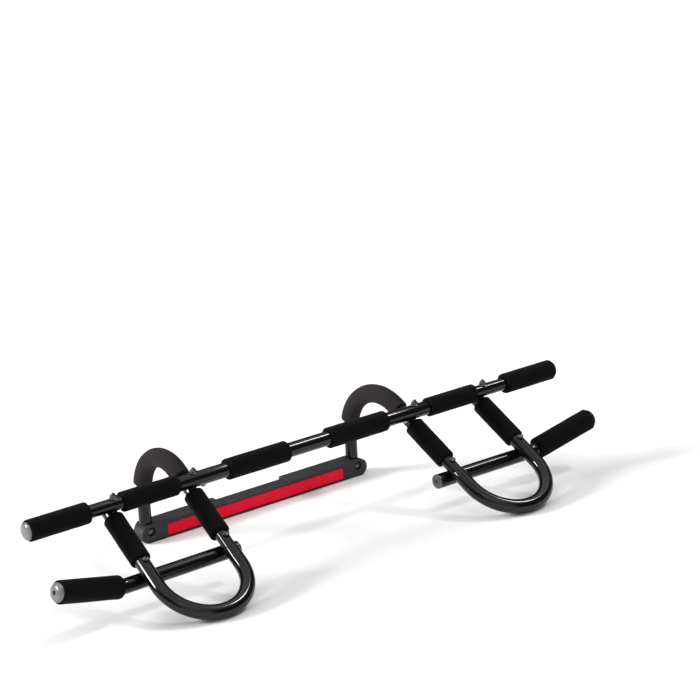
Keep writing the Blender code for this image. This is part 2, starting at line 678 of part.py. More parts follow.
def make_lower_bar(root, side):
    """The straight tube under both arms, with its outer end bent up for a grip."""
    inner_end = side.lower_point(LOWER_INNER_X)
    corner = side.lower_point(LOWER_BEND_X)
    along = (corner - inner_end).normalized()
    out = side.lower_tip_direction()
    turn = along.angle(out)
    setback = LOWER_BEND_R * math.tan(turn / 2)
    start = corner - along * setback
    end = corner + out * setback
    inward = (out - along).normalized()
    center = corner + inward * (LOWER_BEND_R / math.cos(turn / 2))
    tip = corner + out * LOWER_TIP
    points = [inner_end] + arc_points(center, start, end, 3) + [tip]
    skin = path_mesh([point - inner_end for point in points], THICK_TUBE_R)
    tube = add_part("lower_bar_" + side.name, skin, "tube_black", root, inner_end)
    add_wall(tube, TUBE_WALL)
    for point in side.lower_axis():
        drill(tube, point + side.arm_bolt * THICK_TUBE_R, side.arm_bolt, THICK_TUBE_R * 0.7)
    grip = ring_mesh(LOWER_GRIP_R, THICK_TUBE_R + GAP, LOWER_GRIP_START, LOWER_TIP, round_by=GRIP_ROUND)
    add_part("lower_grip_" + side.name, grip, "foam_black", root, corner, out)
    finish = "cap_silver" if side.sign < 0 else "cap_black"
    add_part("lower_tip_cap_" + side.name, dome_cap_mesh(), finish, root, tip, out)
    plug = plug_mesh(THICK_TUBE_R, LOWER_CAP_HOLE_R)
    add_part("lower_plug_" + side.name, plug, "cap_black", root, inner_end, -along)


def surface_reach(radius, lean, flange):
    """How far along a leaning bolt a flat flange stays clear of a sloping tube."""
    tilt = ARM_SLOPE - lean
    return radius / math.cos(tilt) + flange * math.tan(tilt) + GAP


def make_bolts(root, side):
    """The bolts through each crossing: up through the bar, and down into a nut inside the lower bar."""
    drop = SEAT / math.cos(ARM_SLOPE - BAR_BOLT_LEAN)
    bar_crossings = (
        ("inner_", INNER_ARM_X, THICK_TUBE_R, THIN_TUBE_R),
        ("outer_", OUTER_ARM_X, THIN_TUBE_R, THICK_TUBE_R),
    )
    for label, x, bar_r, arm_r in bar_crossings:
        names = ("bar_bolt_" + label + side.name, "bar_nut_" + label + side.name)
        head_seat = drop + surface_reach(arm_r, BAR_BOLT_LEAN, BOLT_HEAD_R)
        add_bolt(root, names, Vector((side.sign * x, 0, BAR_Z)), side.bar_bolt, head_seat, bar_r + GAP)
    inside = math.sqrt(((THICK_TUBE_R - TUBE_WALL) * math.cos(math.pi / TUBE_SIDES)) ** 2 - NUT_FLANGE_R ** 2)
    inner, outer = side.lower_axis()
    lower_crossings = (("inner_", inner, SEAT, THIN_TUBE_R), ("outer_", outer, DOUBLE_SEAT, THICK_TUBE_R))
    for label, place, seat, arm_r in lower_crossings:
        names = ("arm_bolt_" + label + side.name, "arm_nut_" + label + side.name)
        rise = seat / math.cos(ARM_SLOPE - ARM_BOLT_LEAN)
        head_seat = rise + surface_reach(arm_r, ARM_BOLT_LEAN, BOLT_HEAD_R)
        add_bolt(root, names, place, -side.arm_bolt, head_seat, -(inside - 2 * GAP))


def rail_end_outline():
    """One end moulding seen from the front: square at its step, round at its tip."""
    high = RAIL_HEIGHT
    center = Vector((RAIL_END_X - RAIL_ROUND_R, high / 2))
    steps = 8
    arc = []
    for index in range(steps + 1):
        angle = math.pi / 2 - math.pi * index / steps
        arc.append((center.x + RAIL_ROUND_R * math.cos(angle), center.y + high / 2 * math.sin(angle)))
    return [(RAIL_MIDDLE_HALF + GAP / 2, 0.0), (RAIL_MIDDLE_HALF + GAP / 2, high)] + arc


def make_rail(root, sides):
    middle_y = RAIL_FRONT + RAIL_DEPTH / 2
    core_place = Vector((0, CORE_Y, CORE_Z))
    pocket = (2 * (CORE_HALF + GAP), CORE_DEEP + 2 * GAP, CORE_HIGH + 2 * GAP)
    strip_cut = (2 * (STRIP_HALF + GAP), 2 * (STRIP_THICK + GAP), STRIP_HIGH - STRIP_LOW + 2 * GAP)
    strip_place = Vector((0, RAIL_FRONT, (STRIP_LOW + STRIP_HIGH) / 2))
    for side in sides:
        outline = [(x * side.sign, z) for x, z in rail_end_outline()]
        mesh = outline_mesh(outline, RAIL_DEPTH / 2)
        mesh.transform(Matrix.Rotation(math.pi / 2, 4, "X"))
        end = add_part("rail_end_" + side.name, mesh, "rail_charcoal", root, (0, middle_y, 0))
        foot = side.hook_arc()[2]
        socket = THIN_TUBE_R + GAP
        profile = [(0.0, RAIL_HEIGHT), (socket, RAIL_HEIGHT), (socket, -GAP), (0.0, -GAP)]
        cut(end, rod_mesh(profile), (foot.x, foot.y, HOOK_FOOT))
        cut(end, box_mesh(pocket), core_place)
        cut(end, box_mesh(strip_cut), strip_place)
        drill(end, (foot.x, middle_y, RAIL_BOLT_Z), (0, 1, 0), RAIL_DEPTH)
        for face in (RAIL_FRONT, RAIL_FRONT + RAIL_DEPTH):
            drill(end, (foot.x, face, RAIL_BOLT_Z), (0, 1, 0), COUNTERBORE, COUNTERBORE_R, TUBE_SIDES)
    slim = (2 * RAIL_MIDDLE_HALF - GAP, RAIL_DEPTH - RAIL_STEP, RAIL_HEIGHT - RAIL_STEP)
    slim_place = (0, RAIL_FRONT + slim[1] / 2, slim[2] / 2)
    middle = add_part("rail_middle", box_mesh(slim), "rail_charcoal", root, slim_place)
    cut(middle, box_mesh(pocket), core_place)
    cut(middle, box_mesh(strip_cut), strip_place)
    strip = (2 * STRIP_HALF, STRIP_THICK, STRIP_HIGH - STRIP_LOW)
    strip_middle = strip_place + Vector((0, STRIP_THICK / 2, 0))
    add_part("rail_strip", box_mesh(strip), "strip_red", root, strip_middle)
    core = add_part("rail_core", box_mesh((2 * CORE_HALF, CORE_DEEP, CORE_HIGH)), "steel_plain", root, core_place)
    hollow = (2 * CORE_HALF + 0.01, CORE_DEEP - 2 * CORE_WALL, CORE_HIGH - 2 * CORE_WALL)
    cut(core, box_mesh(hollow), core_place)


def make_rail_bolt(root, side):
    """The bolt through the rail's end and the foot of the hook tube, with its head in the front counterbore."""
    foot = side.hook_arc()[2]
    place = Vector((foot.x, RAIL_FRONT, RAIL_BOLT_Z))
    nut_seat = RAIL_DEPTH - COUNTERBORE + GAP
    bolt = bolt_mesh(nut_seat + THIN_NUT + GAP, COUNTERBORE - GAP)
    add_part("rail_bolt_" + side.name, bolt, "zinc_dark", root, place, (0, 1, 0))
    nut = hex_nut_mesh(nut_seat, nut_seat + THIN_NUT)
    add_part("rail_nut_" + side.name, nut, "zinc_dark", root, place, (0, 1, 0))


def main():
    clear_scene()
    root = add_empty("frame_origin", (0, FRAME_SHIFT, 0))
    sides = [Side("left", -1), Side("right", 1)]
    make_main_bar(root, sides)
    for side in sides:
        make_hook(root, side)
        make_arm_grips(root, side)
        make_handle(root, side)
        make_lower_bar(root, side)
        make_bolts(root, side)
        make_rail_bolt(root, side)
    make_rail(root, sides)


main()
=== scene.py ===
"""The finished look of a doorway pull-up bar that lies on its rail and on the bends of its two handles."""

import logging
import math
from dataclasses import dataclass
from enum import Enum
from typing import Callable, Iterable, Sequence

import bmesh
import bpy
from mathutils import Matrix, Vector, noise


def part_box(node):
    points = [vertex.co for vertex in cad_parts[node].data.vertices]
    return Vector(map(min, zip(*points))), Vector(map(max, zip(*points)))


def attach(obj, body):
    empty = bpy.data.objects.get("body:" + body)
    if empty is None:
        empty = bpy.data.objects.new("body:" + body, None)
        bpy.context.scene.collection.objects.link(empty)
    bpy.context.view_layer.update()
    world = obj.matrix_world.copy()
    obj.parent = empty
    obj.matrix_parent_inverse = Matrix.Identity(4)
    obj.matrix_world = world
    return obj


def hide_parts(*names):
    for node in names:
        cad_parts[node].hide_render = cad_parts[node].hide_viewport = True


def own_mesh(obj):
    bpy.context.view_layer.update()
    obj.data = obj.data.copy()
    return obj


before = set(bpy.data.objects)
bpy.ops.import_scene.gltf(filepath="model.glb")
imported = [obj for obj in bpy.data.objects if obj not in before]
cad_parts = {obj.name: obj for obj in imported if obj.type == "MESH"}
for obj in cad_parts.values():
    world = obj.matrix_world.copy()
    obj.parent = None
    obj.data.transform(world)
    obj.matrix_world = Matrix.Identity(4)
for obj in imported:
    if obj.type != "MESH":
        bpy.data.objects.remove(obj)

LOG = logging.getLogger("pull_up_bar")
BODY = "frame"
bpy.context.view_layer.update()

GAP = 0.0003
ROUND = 56
THICK_R = 0.0125
WALL = 0.0012
THIN_R = THICK_R - WALL - GAP
BOLT_R = 0.003
HEX_R = 0.0058
NUT_FLANGE_R = 0.0064
STEM_DEPTH = 0.008
BAR_RIM = 0.0004
ARM_RIM = 0.0005
TRAVEL = 0.004
HOLE_R = 0.0038
LEAST_ANGLE = 0.5
CAD_FACETS = 16
UP = Vector((0, 0, 1))
BACKWARDS = Vector((0, 1, 0))


class End(Enum):
    """The two mirrored sides of the frame."""

    LEFT = -1
    RIGHT = 1

    @property
    def label(self) -> str:
        """The side's name as the CAD nodes carry it."""
        return self.name.lower()


class Pattern(Enum):
    """The shared surface effects."""

    FOAM = "foam_cells"
    SKIN = "paint_skin"
    DUST = "settled_dust"
    WEAR = "rubbed_edges"


class NodeSheet:
    """A node tree while it is being filled, for a material or for a shared effect."""

    def __init__(self, tree: bpy.types.NodeTree) -> None:
        """Starts on a tree.

        Args:
            tree: The tree that the nodes go in.
        """
        self.tree = tree

    def add(self, kind: str, **values: object) -> bpy.types.Node:
        """Adds a node.

        Args:
            kind: The node's type name without its ShaderNode prefix.
            **values: Properties of the node, or inputs by name with underscores for spaces.

        Returns:
            The new node.
        """
        node = self.tree.nodes.new("ShaderNode" + kind)
        for name, value in values.items():
            socket = node.inputs.get(name.replace("_", " "))
            if hasattr(node, name):
                setattr(node, name, value)
            elif socket is not None:
                socket.default_value = value
            else:
                raise KeyError(f"{kind} has no {name}")
        return node

    def link(self, source: bpy.types.NodeSocket, target: bpy.types.NodeSocket) -> None:
        """Joins an output socket to an input socket."""
        self.tree.links.new(source, target)

    def place(self) -> bpy.types.NodeSocket:
        """Object coordinates, which every pattern reads."""
        return self.add("TexCoord").outputs["Object"]

    def noise(self, scale: float, detail: float = 2.0) -> bpy.types.NodeSocket:
        """A noise pattern.

        Args:
            scale: Features per metre.
            detail: Octaves of finer noise.

        Returns:
            The noise's value.
        """
        node = self.add("TexNoise", Scale=scale, Detail=detail)
        self.link(self.place(), node.inputs["Vector"])
        return node.outputs["Fac"]

    def ramp(
        self, value: bpy.types.NodeSocket, low: float, high: float, to: tuple[float, float] = (0.0, 1.0)
    ) -> bpy.types.NodeSocket:
        """Stretches a value.

        Args:
            value: The socket to read.
            low: The value that becomes the first of to.
            high: The value that becomes the second of to.
            to: The range of the result.

        Returns:
            The stretched and clamped value.
        """
        node = self.add("MapRange")
        for index, number in enumerate((low, high, *to), start=1):
            node.inputs[index].default_value = number
        self.link(value, node.inputs[0])
        return node.outputs[0]

    def maths(self, operation: str, *parts: object) -> bpy.types.NodeSocket:
        """One arithmetic step.

        Args:
            operation: The Math node's operation.
            *parts: Sockets or numbers.

        Returns:
            The result.
        """
        node = self.add("Math", operation=operation)
        for index, part in enumerate(parts):
            if isinstance(part, (int, float)):
                node.inputs[index].default_value = part
            else:
                self.link(part, node.inputs[index])
        return node.outputs[0]

    def shared(self, pattern: Pattern) -> bpy.types.Node:
        """Adds a shared effect.

        Args:
            pattern: Which effect.

        Returns:
            The group node, with the effect's outputs.
        """
        node = self.tree.nodes.new("ShaderNodeGroup")
        node.node_tree = Effects.tree(pattern)
        return node

    def mix(self, mask: bpy.types.NodeSocket, finish: "Finish") -> bpy.types.NodeSocket:
        """Mixes a finish's two colours.

        Args:
            mask: 0 for the first colour and 1 for the second.
            finish: The finish.

        Returns:
            The mixed colour.
        """
        node = self.add("Mix", data_type="RGBA")
        self.link(mask, node.inputs[0])
        node.inputs[6].default_value = (*finish.colour, 1.0)
        node.inputs[7].default_value = (*finish.second, 1.0)
        return node.outputs[2]


Maker = Callable[[NodeSheet], dict[str, bpy.types.NodeSocket]]


class Effects:
    """The shared effects as node groups, each made once."""

    @staticmethod
    def tree(pattern: Pattern) -> bpy.types.NodeTree:
        """The group for an effect, made when it is first asked for.

        Args:
            pattern: Which effect.

        Returns:
            The node group.
        """
        found = bpy.data.node_groups.get(pattern.value)
        if found is not None:
            return found
        group = bpy.data.node_groups.new(pattern.value, "ShaderNodeTree")
        makers: dict[Pattern, Maker] = {
            Pattern.FOAM: Effects.foam,
            Pattern.SKIN: Effects.skin,
            Pattern.DUST: Effects.dust,
            Pattern.WEAR: Effects.wear,
        }
        sheet = NodeSheet(group)
        results = makers[pattern](sheet)
        out = group.nodes.new("NodeGroupOutput")
        for name, socket in results.items():
            group.interface.new_socket(name, in_out="OUTPUT", socket_type="NodeSocketFloat")
            group.links.new(socket, out.inputs[name])
        return group

    @staticmethod
    def foam(sheet: NodeSheet) -> dict[str, bpy.types.NodeSocket]:
        """Closed cells of foam: pale flecks where a cell wall catches light, and the relief of the cells.

        Args:
            sheet: The effect's sheet.

        Returns:
            The outputs by name.
        """
        cells = sheet.add("TexVoronoi", Scale=620.0)
        sheet.link(sheet.place(), cells.inputs["Vector"])
        fine = sheet.noise(1500.0, 3.0)
        broad = sheet.noise(38.0, 3.0)
        fleck = sheet.ramp(fine, 0.52, 0.72)
        return {
            "Fleck": sheet.maths("MULTIPLY", fleck, sheet.ramp(broad, 0.3, 0.7, (0.35, 1.0))),
            "Broad": broad,
            "Height": sheet.maths("ADD", cells.outputs["Distance"], sheet.maths("MULTIPLY", fine, 0.8)),
        }

    @staticmethod
    def skin(sheet: NodeSheet) -> dict[str, bpy.types.NodeSocket]:
        """Powder coat: its faint waviness, and where it is a little duller.

        Args:
            sheet: The effect's sheet.

        Returns:
            The outputs by name.
        """
        wave = sheet.noise(240.0, 2.0)
        dull = sheet.noise(22.0, 4.0)
        return {"Height": wave, "Dull": sheet.ramp(dull, 0.35, 0.75)}

    @staticmethod
    def dust(sheet: NodeSheet) -> dict[str, bpy.types.NodeSocket]:
        """A film of dust on what faces up.

        Args:
            sheet: The effect's sheet.

        Returns:
            The outputs by name.
        """
        up = sheet.add("SeparateXYZ")
        sheet.link(sheet.add("NewGeometry").outputs["Normal"], up.inputs[0])
        grain = sheet.ramp(sheet.noise(420.0, 5.0), 0.45, 0.75)
        return {"Mask": sheet.maths("MULTIPLY", sheet.ramp(up.outputs["Z"], 0.35, 1.0), grain)}

    @staticmethod
    def wear(sheet: NodeSheet) -> dict[str, bpy.types.NodeSocket]:
        """Rubbed edges, broken up by a fine noise.

        Args:
            sheet: The effect's sheet.

        Returns:
            The outputs by name.
        """
        edge = sheet.ramp(sheet.add("NewGeometry").outputs["Pointiness"], 0.52, 0.62)
        return {"Mask": sheet.maths("MULTIPLY", edge, sheet.ramp(sheet.noise(180.0, 4.0), 0.4, 0.7))}


@dataclass(frozen=True)
class Finish:
    """What every finish has: its name, its record slot and a colour range."""

    name: str
    slot: str
    colour: tuple[float, float, float]
    second: tuple[float, float, float]
    roughness: float
    relief: float

    def sheet(self) -> tuple[NodeSheet, bpy.types.Node]:
        """Starts the material.

        Returns:
            The sheet to fill and the material's shader.
        """
        material = bpy.data.materials.new(self.name)
        material.use_nodes = True
        shader = material.node_tree.nodes["Principled BSDF"]
        shader.inputs["Roughness"].default_value = self.roughness
        return NodeSheet(material.node_tree), shader

    def dress(self, sheet: NodeSheet, shader: bpy.types.Node, mask: bpy.types.NodeSocket) -> None:
        """Feeds the mix of the finish's two colours into the shader.

        Args:
            sheet: The material's sheet.
            shader: The material's shader.
            mask: 0 for the first colour and 1 for the second.
        """
        sheet.link(sheet.mix(mask, self), shader.inputs["Base Color"])

    def relieve(self, sheet: NodeSheet, shader: bpy.types.Node, height: bpy.types.NodeSocket) -> None:
        """Feeds a height into the shader as relief.

        Args:
            sheet: The material's sheet.
            shader: The material's shader.
            height: The pattern's height, about 0 to 1.
        """
        bump = sheet.add("Bump", Strength=1.0, Distance=self.relief)
        sheet.link(height, bump.inputs["Height"])
        sheet.link(bump.outputs["Normal"], shader.inputs["Normal"])

    def fill(self, sheet: NodeSheet, shader: bpy.types.Node) -> None:
        """Fills the material. Each kind of finish does this its own way.

        Args:
            sheet: The material's sheet.
            shader: The material's shader.
        """
        raise NotImplementedError

    def material(self) -> bpy.types.Material:
        """The finish's material, made when it is first asked for.

        Returns:
            The material.
        """
        found = bpy.data.materials.get(self.name)
        if found is None:
            sheet, shader = self.sheet()
            self.fill(sheet, shader)
            found = bpy.data.materials[self.name]
        return found


@dataclass(frozen=True)
class PowderCoat(Finish):
    """Gloss paint on steel tube."""

    coat: float = 0.15
    shine: float = 0.30

    def fill(self, sheet: NodeSheet, shader: bpy.types.Node) -> None:
        """Gloss black with a faint waviness, duller patches and a trace of dust.

        Args:
            sheet: The material's sheet.
            shader: The material's shader.
        """
        shader.inputs["Coat Weight"].default_value = self.coat
        shader.inputs["Coat Roughness"].default_value = 0.05
        shader.inputs["Specular IOR Level"].default_value = self.shine
        skin, dust = sheet.shared(Pattern.SKIN), sheet.shared(Pattern.DUST)
        mask = sheet.maths("MULTIPLY", dust.outputs["Mask"], 0.10)
        self.dress(sheet, shader, mask)
        rough = sheet.ramp(skin.outputs["Dull"], 0.0, 1.0, (self.roughness, self.roughness + 0.05))
        sheet.link(rough, shader.inputs["Roughness"])
        self.relieve(sheet, shader, skin.outputs["Height"])


@dataclass(frozen=True)
class Foam(Finish):
    """Closed-cell foam."""

    def fill(self, sheet: NodeSheet, shader: bpy.types.Node) -> None:
        """Matte foam with pale flecks and open cells.

        Args:
            sheet: The material's sheet.
            shader: The material's shader.
        """
        shader.inputs["Specular IOR Level"].default_value = 0.12
        shader.inputs["Sheen Weight"].default_value = 0.02
        cells = sheet.shared(Pattern.FOAM)
        self.dress(sheet, shader, cells.outputs["Fleck"])
        rough = sheet.ramp(cells.outputs["Broad"], 0.0, 1.0, (self.roughness - 0.08, 1.0))
        sheet.link(rough, shader.inputs["Roughness"])
        self.relieve(sheet, shader, cells.outputs["Height"])


@dataclass(frozen=True)
class Moulded(Finish):
    """Moulded plastic or rubber, with a grained skin."""

    grain: float = 900.0
    shine: float = 0.35

    def fill(self, sheet: NodeSheet, shader: bpy.types.Node) -> None:
        """A grained moulding, paler where its edges are rubbed.

        Args:
            sheet: The material's sheet.
            shader: The material's shader.
        """
        shader.inputs["Specular IOR Level"].default_value = self.shine
        wear = sheet.shared(Pattern.WEAR)
        tone = sheet.maths("MULTIPLY", sheet.noise(70.0, 5.0), 0.35)
        mask = sheet.maths("MAXIMUM", wear.outputs["Mask"], tone)
        self.dress(sheet, shader, mask)
        rough = sheet.ramp(tone, 0.0, 0.35, (self.roughness - 0.06, self.roughness + 0.06))
        sheet.link(rough, shader.inputs["Roughness"])
        self.relieve(sheet, shader, sheet.noise(self.grain, 3.0))


@dataclass(frozen=True)
class Plated(Finish):
    """Plated or bare steel hardware."""

    def fill(self, sheet: NodeSheet, shader: bpy.types.Node) -> None:
        """Metal with a mottled plating and brighter rubbed edges.

        Args:
            sheet: The material's sheet.
            shader: The material's shader.
        """
        shader.inputs["Metallic"].default_value = 1.0
        wear = sheet.shared(Pattern.WEAR)
        mottle = sheet.ramp(sheet.noise(520.0, 4.0), 0.35, 0.7)
        mask = sheet.maths("MAXIMUM", wear.outputs["Mask"], sheet.maths("MULTIPLY", mottle, 0.5))
        self.dress(sheet, shader, mask)
        rough = sheet.ramp(mottle, 0.0, 1.0, (self.roughness, self.roughness + 0.15))
        sheet.link(rough, shader.inputs["Roughness"])
        self.relieve(sheet, shader, sheet.noise(1400.0, 2.0))


# The near-black base colour is the paint's own; its faint purple cast is a painted reflection tint that stands
# in for the purple of the tubes' reflections.
TUBE = PowderCoat(
    "gloss_black_tube", "tube_black", colour=(0.0032, 0.0022, 0.0036), second=(0.06, 0.05, 0.06),
    roughness=0.12, relief=0.000008,
)
GRIP = Foam(
    "black_grip_foam", "foam_black", colour=(0.0016, 0.0014, 0.0014), second=(0.010, 0.009, 0.009),
    roughness=0.97, relief=0.00022,
)
ARCH = Foam(
    "grey_arch_foam", "foam_grey", colour=(0.019, 0.015, 0.016), second=(0.048, 0.040, 0.042),
    roughness=0.94, relief=0.00022,
)
RAIL = Moulded(
    "charcoal_rail", "rail_charcoal", colour=(0.021, 0.017, 0.022), second=(0.044, 0.038, 0.046),
    roughness=0.55, relief=0.00004,
)
STRIP = Moulded(
    "red_pad", "strip_red", colour=(0.88, 0.0003, 0.026), second=(0.93, 0.004, 0.040),
    roughness=0.55, relief=0.00003, grain=1500.0, shine=0.15,
)
SILVER = Moulded(
    "silver_cap", "cap_silver", colour=(0.105, 0.098, 0.105), second=(0.34, 0.33, 0.34),
    roughness=0.22, relief=0.00002, grain=700.0, shine=0.9,
)
CAP = Moulded(
    "black_cap", "cap_black", colour=(0.010, 0.009, 0.010), second=(0.040, 0.038, 0.040),
    roughness=0.38, relief=0.00003,
)
PLUG = Moulded(
    "grey_plug", "cap_black", colour=(0.045, 0.040, 0.045), second=(0.12, 0.11, 0.12),
    roughness=0.30, relief=0.00003, grain=900.0, shine=0.8,
)
BOLT = Plated(
    "dark_zinc", "zinc_dark", colour=(0.050, 0.046, 0.052), second=(0.30, 0.29, 0.31),
    roughness=0.26, relief=0.00002,
)
STEEL = Plated(
    "bare_steel", "steel_plain", colour=(0.30, 0.30, 0.31), second=(0.62, 0.61, 0.61),
    roughness=0.25, relief=0.00001,
)


class Form:
    """One piece's mesh while it is being modelled."""

    def __init__(self) -> None:
        """Starts with nothing."""
        self.mesh = bmesh.new()
        self.ring: list[bmesh.types.BMEdge] = []
        self.tangent = UP

    @staticmethod
    def turned(profile: Sequence[tuple[float, float]], closed: bool = False, steps: int = ROUND) -> "Form":
        """A shape turned about Z.

        Args:
            profile: Points of radius and height.
            closed: Joins the last point to the first, for a ring.
            steps: Faces round the shape.

        Returns:
            The form.
        """
        form = Form()
        verts = [form.mesh.verts.new((radius, 0.0, height)) for radius, height in profile]
        pairs = list(zip(verts, verts[1:])) + ([(verts[-1], verts[0])] if closed else [])
        edges = [form.mesh.edges.new(pair) for pair in pairs]
        bmesh.ops.spin(
            form.mesh, geom=verts + edges, cent=(0, 0, 0), axis=(0, 0, 1), dvec=(0, 0, 0),
            angle=math.tau, steps=steps, use_merge=True, use_duplicate=False,
        )
        return form.sewn()

    @staticmethod
    def tube(start: Vector, tangent: Vector, radius: float, steps: int = ROUND) -> "Form":
        """Starts a swept tube with one open ring.

        Args:
            start: The ring's centre.
            tangent: The way the tube leaves.
            radius: The ring's radius.
            steps: Faces round the tube.

        Returns:
            The form.
        """
        form = Form()
        turn = tangent.to_track_quat("Z", "Y").to_matrix().to_4x4()
        bmesh.ops.create_circle(form.mesh, cap_ends=False, segments=steps, radius=radius)
        bmesh.ops.transform(form.mesh, matrix=Matrix.Translation(start) @ turn, verts=form.mesh.verts)
        form.ring = list(form.mesh.edges)
        form.tangent = tangent.normalized()
        return form

    def ring_verts(self) -> list[bmesh.types.BMVert]:
        """The vertices of the newest ring."""
        return list({vert for edge in self.ring for vert in edge.verts})

    def centre(self) -> Vector:
        """The middle of the newest ring."""
        verts = self.ring_verts()
        return sum((vert.co for vert in verts), Vector()) / len(verts)

    def advance(self, distance: float, radius: float | None = None, steps: int = 1) -> None:
        """Grows the tube straight on.

        Args:
            distance: How far.
            radius: The new ring's radius, if it changes.
            steps: Into how many lengths.
        """
        for _ in range(steps):
            made = bmesh.ops.extrude_edge_only(self.mesh, edges=self.ring)["geom"]
            self.ring = [item for item in made if isinstance(item, bmesh.types.BMEdge)]
            bmesh.ops.translate(self.mesh, vec=self.tangent * (distance / steps), verts=self.ring_verts())
        if radius is not None:
            centre = self.centre()
            now = (self.ring_verts()[0].co - centre).length
            scale = radius / now
            bmesh.ops.scale(
                self.mesh, vec=(scale, scale, scale), space=Matrix.Translation(-centre), verts=self.ring_verts()
            )

    def bend(self, centre: Vector, axis: Vector, angle: float, steps: int) -> None:
        """Grows the tube round a bend.

        Args:
            centre: The bend's centre.
            axis: The bend's axis.
            angle: How far it turns, in radians.
            steps: Into how many lengths.
        """
        made = bmesh.ops.spin(
            self.mesh, geom=self.ring_verts() + self.ring, cent=centre, axis=axis, dvec=(0, 0, 0),
            angle=angle, steps=steps, use_merge=False, use_duplicate=False,
        )
        self.ring = [item for item in made["geom_last"] if isinstance(item, bmesh.types.BMEdge)]
        self.tangent = Matrix.Rotation(angle, 3, axis) @ self.tangent

    def follow(self, legs: Sequence["Leg"], back: bool = False) -> None:
        """Grows the tube along a route.

        Args:
            legs: The route's legs.
            back: Goes along them from the last to the first, the other way.
        """
        sign = -1.0 if back else 1.0
        for leg in reversed(legs) if back else legs:
            if leg.axis is None:
                self.advance(sign * leg.length, steps=leg.steps)
            else:
                self.bend(leg.centre, leg.axis, sign * leg.angle, leg.steps)

    def sewn(self) -> "Form":
        """Merges what coincides and turns every face outwards.

        Returns:
            The form.
        """
        bmesh.ops.remove_doubles(self.mesh, verts=self.mesh.verts, dist=0.000004)
        bmesh.ops.recalc_face_normals(self.mesh, faces=self.mesh.faces)
        return self

    def closed_on(self, first: Iterable[bmesh.types.BMEdge]) -> "Form":
        """Bridges the newest ring to the first one, which closes the wall.

        Args:
            first: The edges of the first ring.

        Returns:
            The form.
        """
        bmesh.ops.bridge_loops(self.mesh, edges=list(first) + self.ring)
        return self.sewn()

    def softened(self, width: float, steps: int = 3, angle: float = LEAST_ANGLE) -> "Form":
        """Rounds the edges sharper than an angle.

        Args:
            width: The rounding's width.
            steps: Faces across it.
            angle: The least angle between two faces, in radians.

        Returns:
            The form.
        """
        sharp = [e for e in self.mesh.edges if e.is_manifold and e.calc_face_angle() > angle]
        bmesh.ops.bevel(
            self.mesh, geom=sharp, offset=width, affect="EDGES", segments=steps, profile=0.5, material=-1,
            clamp_overlap=True,
        )
        return self.sewn()

    def dimpled(self, depth: float, scale: float) -> "Form":
        """Moves the skin in and out a little, as hand-pressed foam is.

        Args:
            depth: The most that a point moves.
            scale: Waves per metre.

        Returns:
            The form.
        """
        self.mesh.normal_update()
        moves = [(vert, vert.normal * (depth * noise.noise(vert.co * scale))) for vert in self.mesh.verts]
        for vert, move in moves:
            vert.co += move
        return self

    def joined(self, other: "Form") -> "Form":
        """Takes another form's mesh into this one.

        Args:
            other: The other form, which is used up.

        Returns:
            This form.
        """
        spare = bpy.data.meshes.new("spare")
        other.mesh.to_mesh(spare)
        other.mesh.free()
        self.mesh.from_mesh(spare)
        bpy.data.meshes.remove(spare)
        return self

    def placed(self, place: Vector, direction: Vector = UP) -> "Form":
        """Turns the form's Z to a direction and moves it to a place.

        Args:
            place: Where the form's origin goes.
            direction: Where its Z points.

        Returns:
            The form.
        """
        turn = direction.to_track_quat("Z", "Y").to_matrix().to_4x4()
        bmesh.ops.transform(self.mesh, matrix=Matrix.Translation(place) @ turn, verts=self.mesh.verts)
        return self

    def foam_piece(self, node: str, finish: Finish) -> bpy.types.Object:
        """Makes the finished foam piece of a node.

        Args:
            node: The CAD node that it stands for.
            finish: Its foam.

        Returns:
            The new object.
        """
        return self.piece("foam_" + node, finish, [node])

    def piece(self, name: str, finish: Finish, nodes: Sequence[str], body: str = BODY) -> bpy.types.Object:
        """Makes the finished piece.

        Args:
            name: The piece's name.
            finish: Its finish.
            nodes: The CAD nodes that it stands for.
            body: The body that it rides on.

        Returns:
            The new object.
        """
        data = bpy.data.meshes.new(name)
        self.mesh.to_mesh(data)
        self.mesh.free()
        data.shade_smooth()
        data.set_sharp_from_angle(angle=math.radians(38))
        data.materials.append(finish.material())
        made = bpy.data.objects.new(name, data)
        bpy.context.scene.collection.objects.link(made)
        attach(made, body)
        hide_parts(*nodes)
        LOG.info("%s: %d faces for %s", name, len(data.polygons), ", ".join(nodes))
        return made


@dataclass(frozen=True)
class Leg:
    """One leg of a tube's route: straight, or a bend where it has an axis."""

    length: float = 0.0
    centre: Vector | None = None
    axis: Vector | None = None
    angle: float = 0.0
    steps: int = 1


def quarter_turns(steps: int) -> Iterable[tuple[float, float]]:
    """The turns of a quarter circle.

    Args:
        steps: Into how many steps.

    Yields:
        The turn at the start and at the end of each step, in radians.
    """
    for step in range(1, steps + 1):
        yield math.pi / 2 * (step - 1) / steps, math.pi / 2 * step / steps


def hollow_tube(
    start: Vector, tangent: Vector, legs: Sequence[Leg], outer: float, inner: float, rim: float = 0.0
) -> Form:
    """A tube wall along a route, from its outer skin round both rims to its bore.

    Args:
        start: The centre of the first ring.
        tangent: The way the tube leaves.
        legs: The route.
        outer: The outer radius.
        inner: The bore's radius.
        rim: The rounding of the outer edge at both ends.

    Returns:
        The closed form.
    """
    form = Form.tube(start, tangent, outer - rim)
    first = list(form.ring)
    rim_steps = 4 if rim else 0
    for last, turn in quarter_turns(rim_steps):
        form.advance(rim * (math.cos(last) - math.cos(turn)), outer - rim + rim * math.sin(turn))
    form.follow(legs)
    for last, turn in quarter_turns(rim_steps):
        form.advance(rim * (math.sin(turn) - math.sin(last)), outer - rim + rim * math.cos(turn))
    form.advance(0.0, inner)
    form.advance(-rim)
    form.follow(legs, back=True)
    form.advance(-rim)
    return form.closed_on(first)


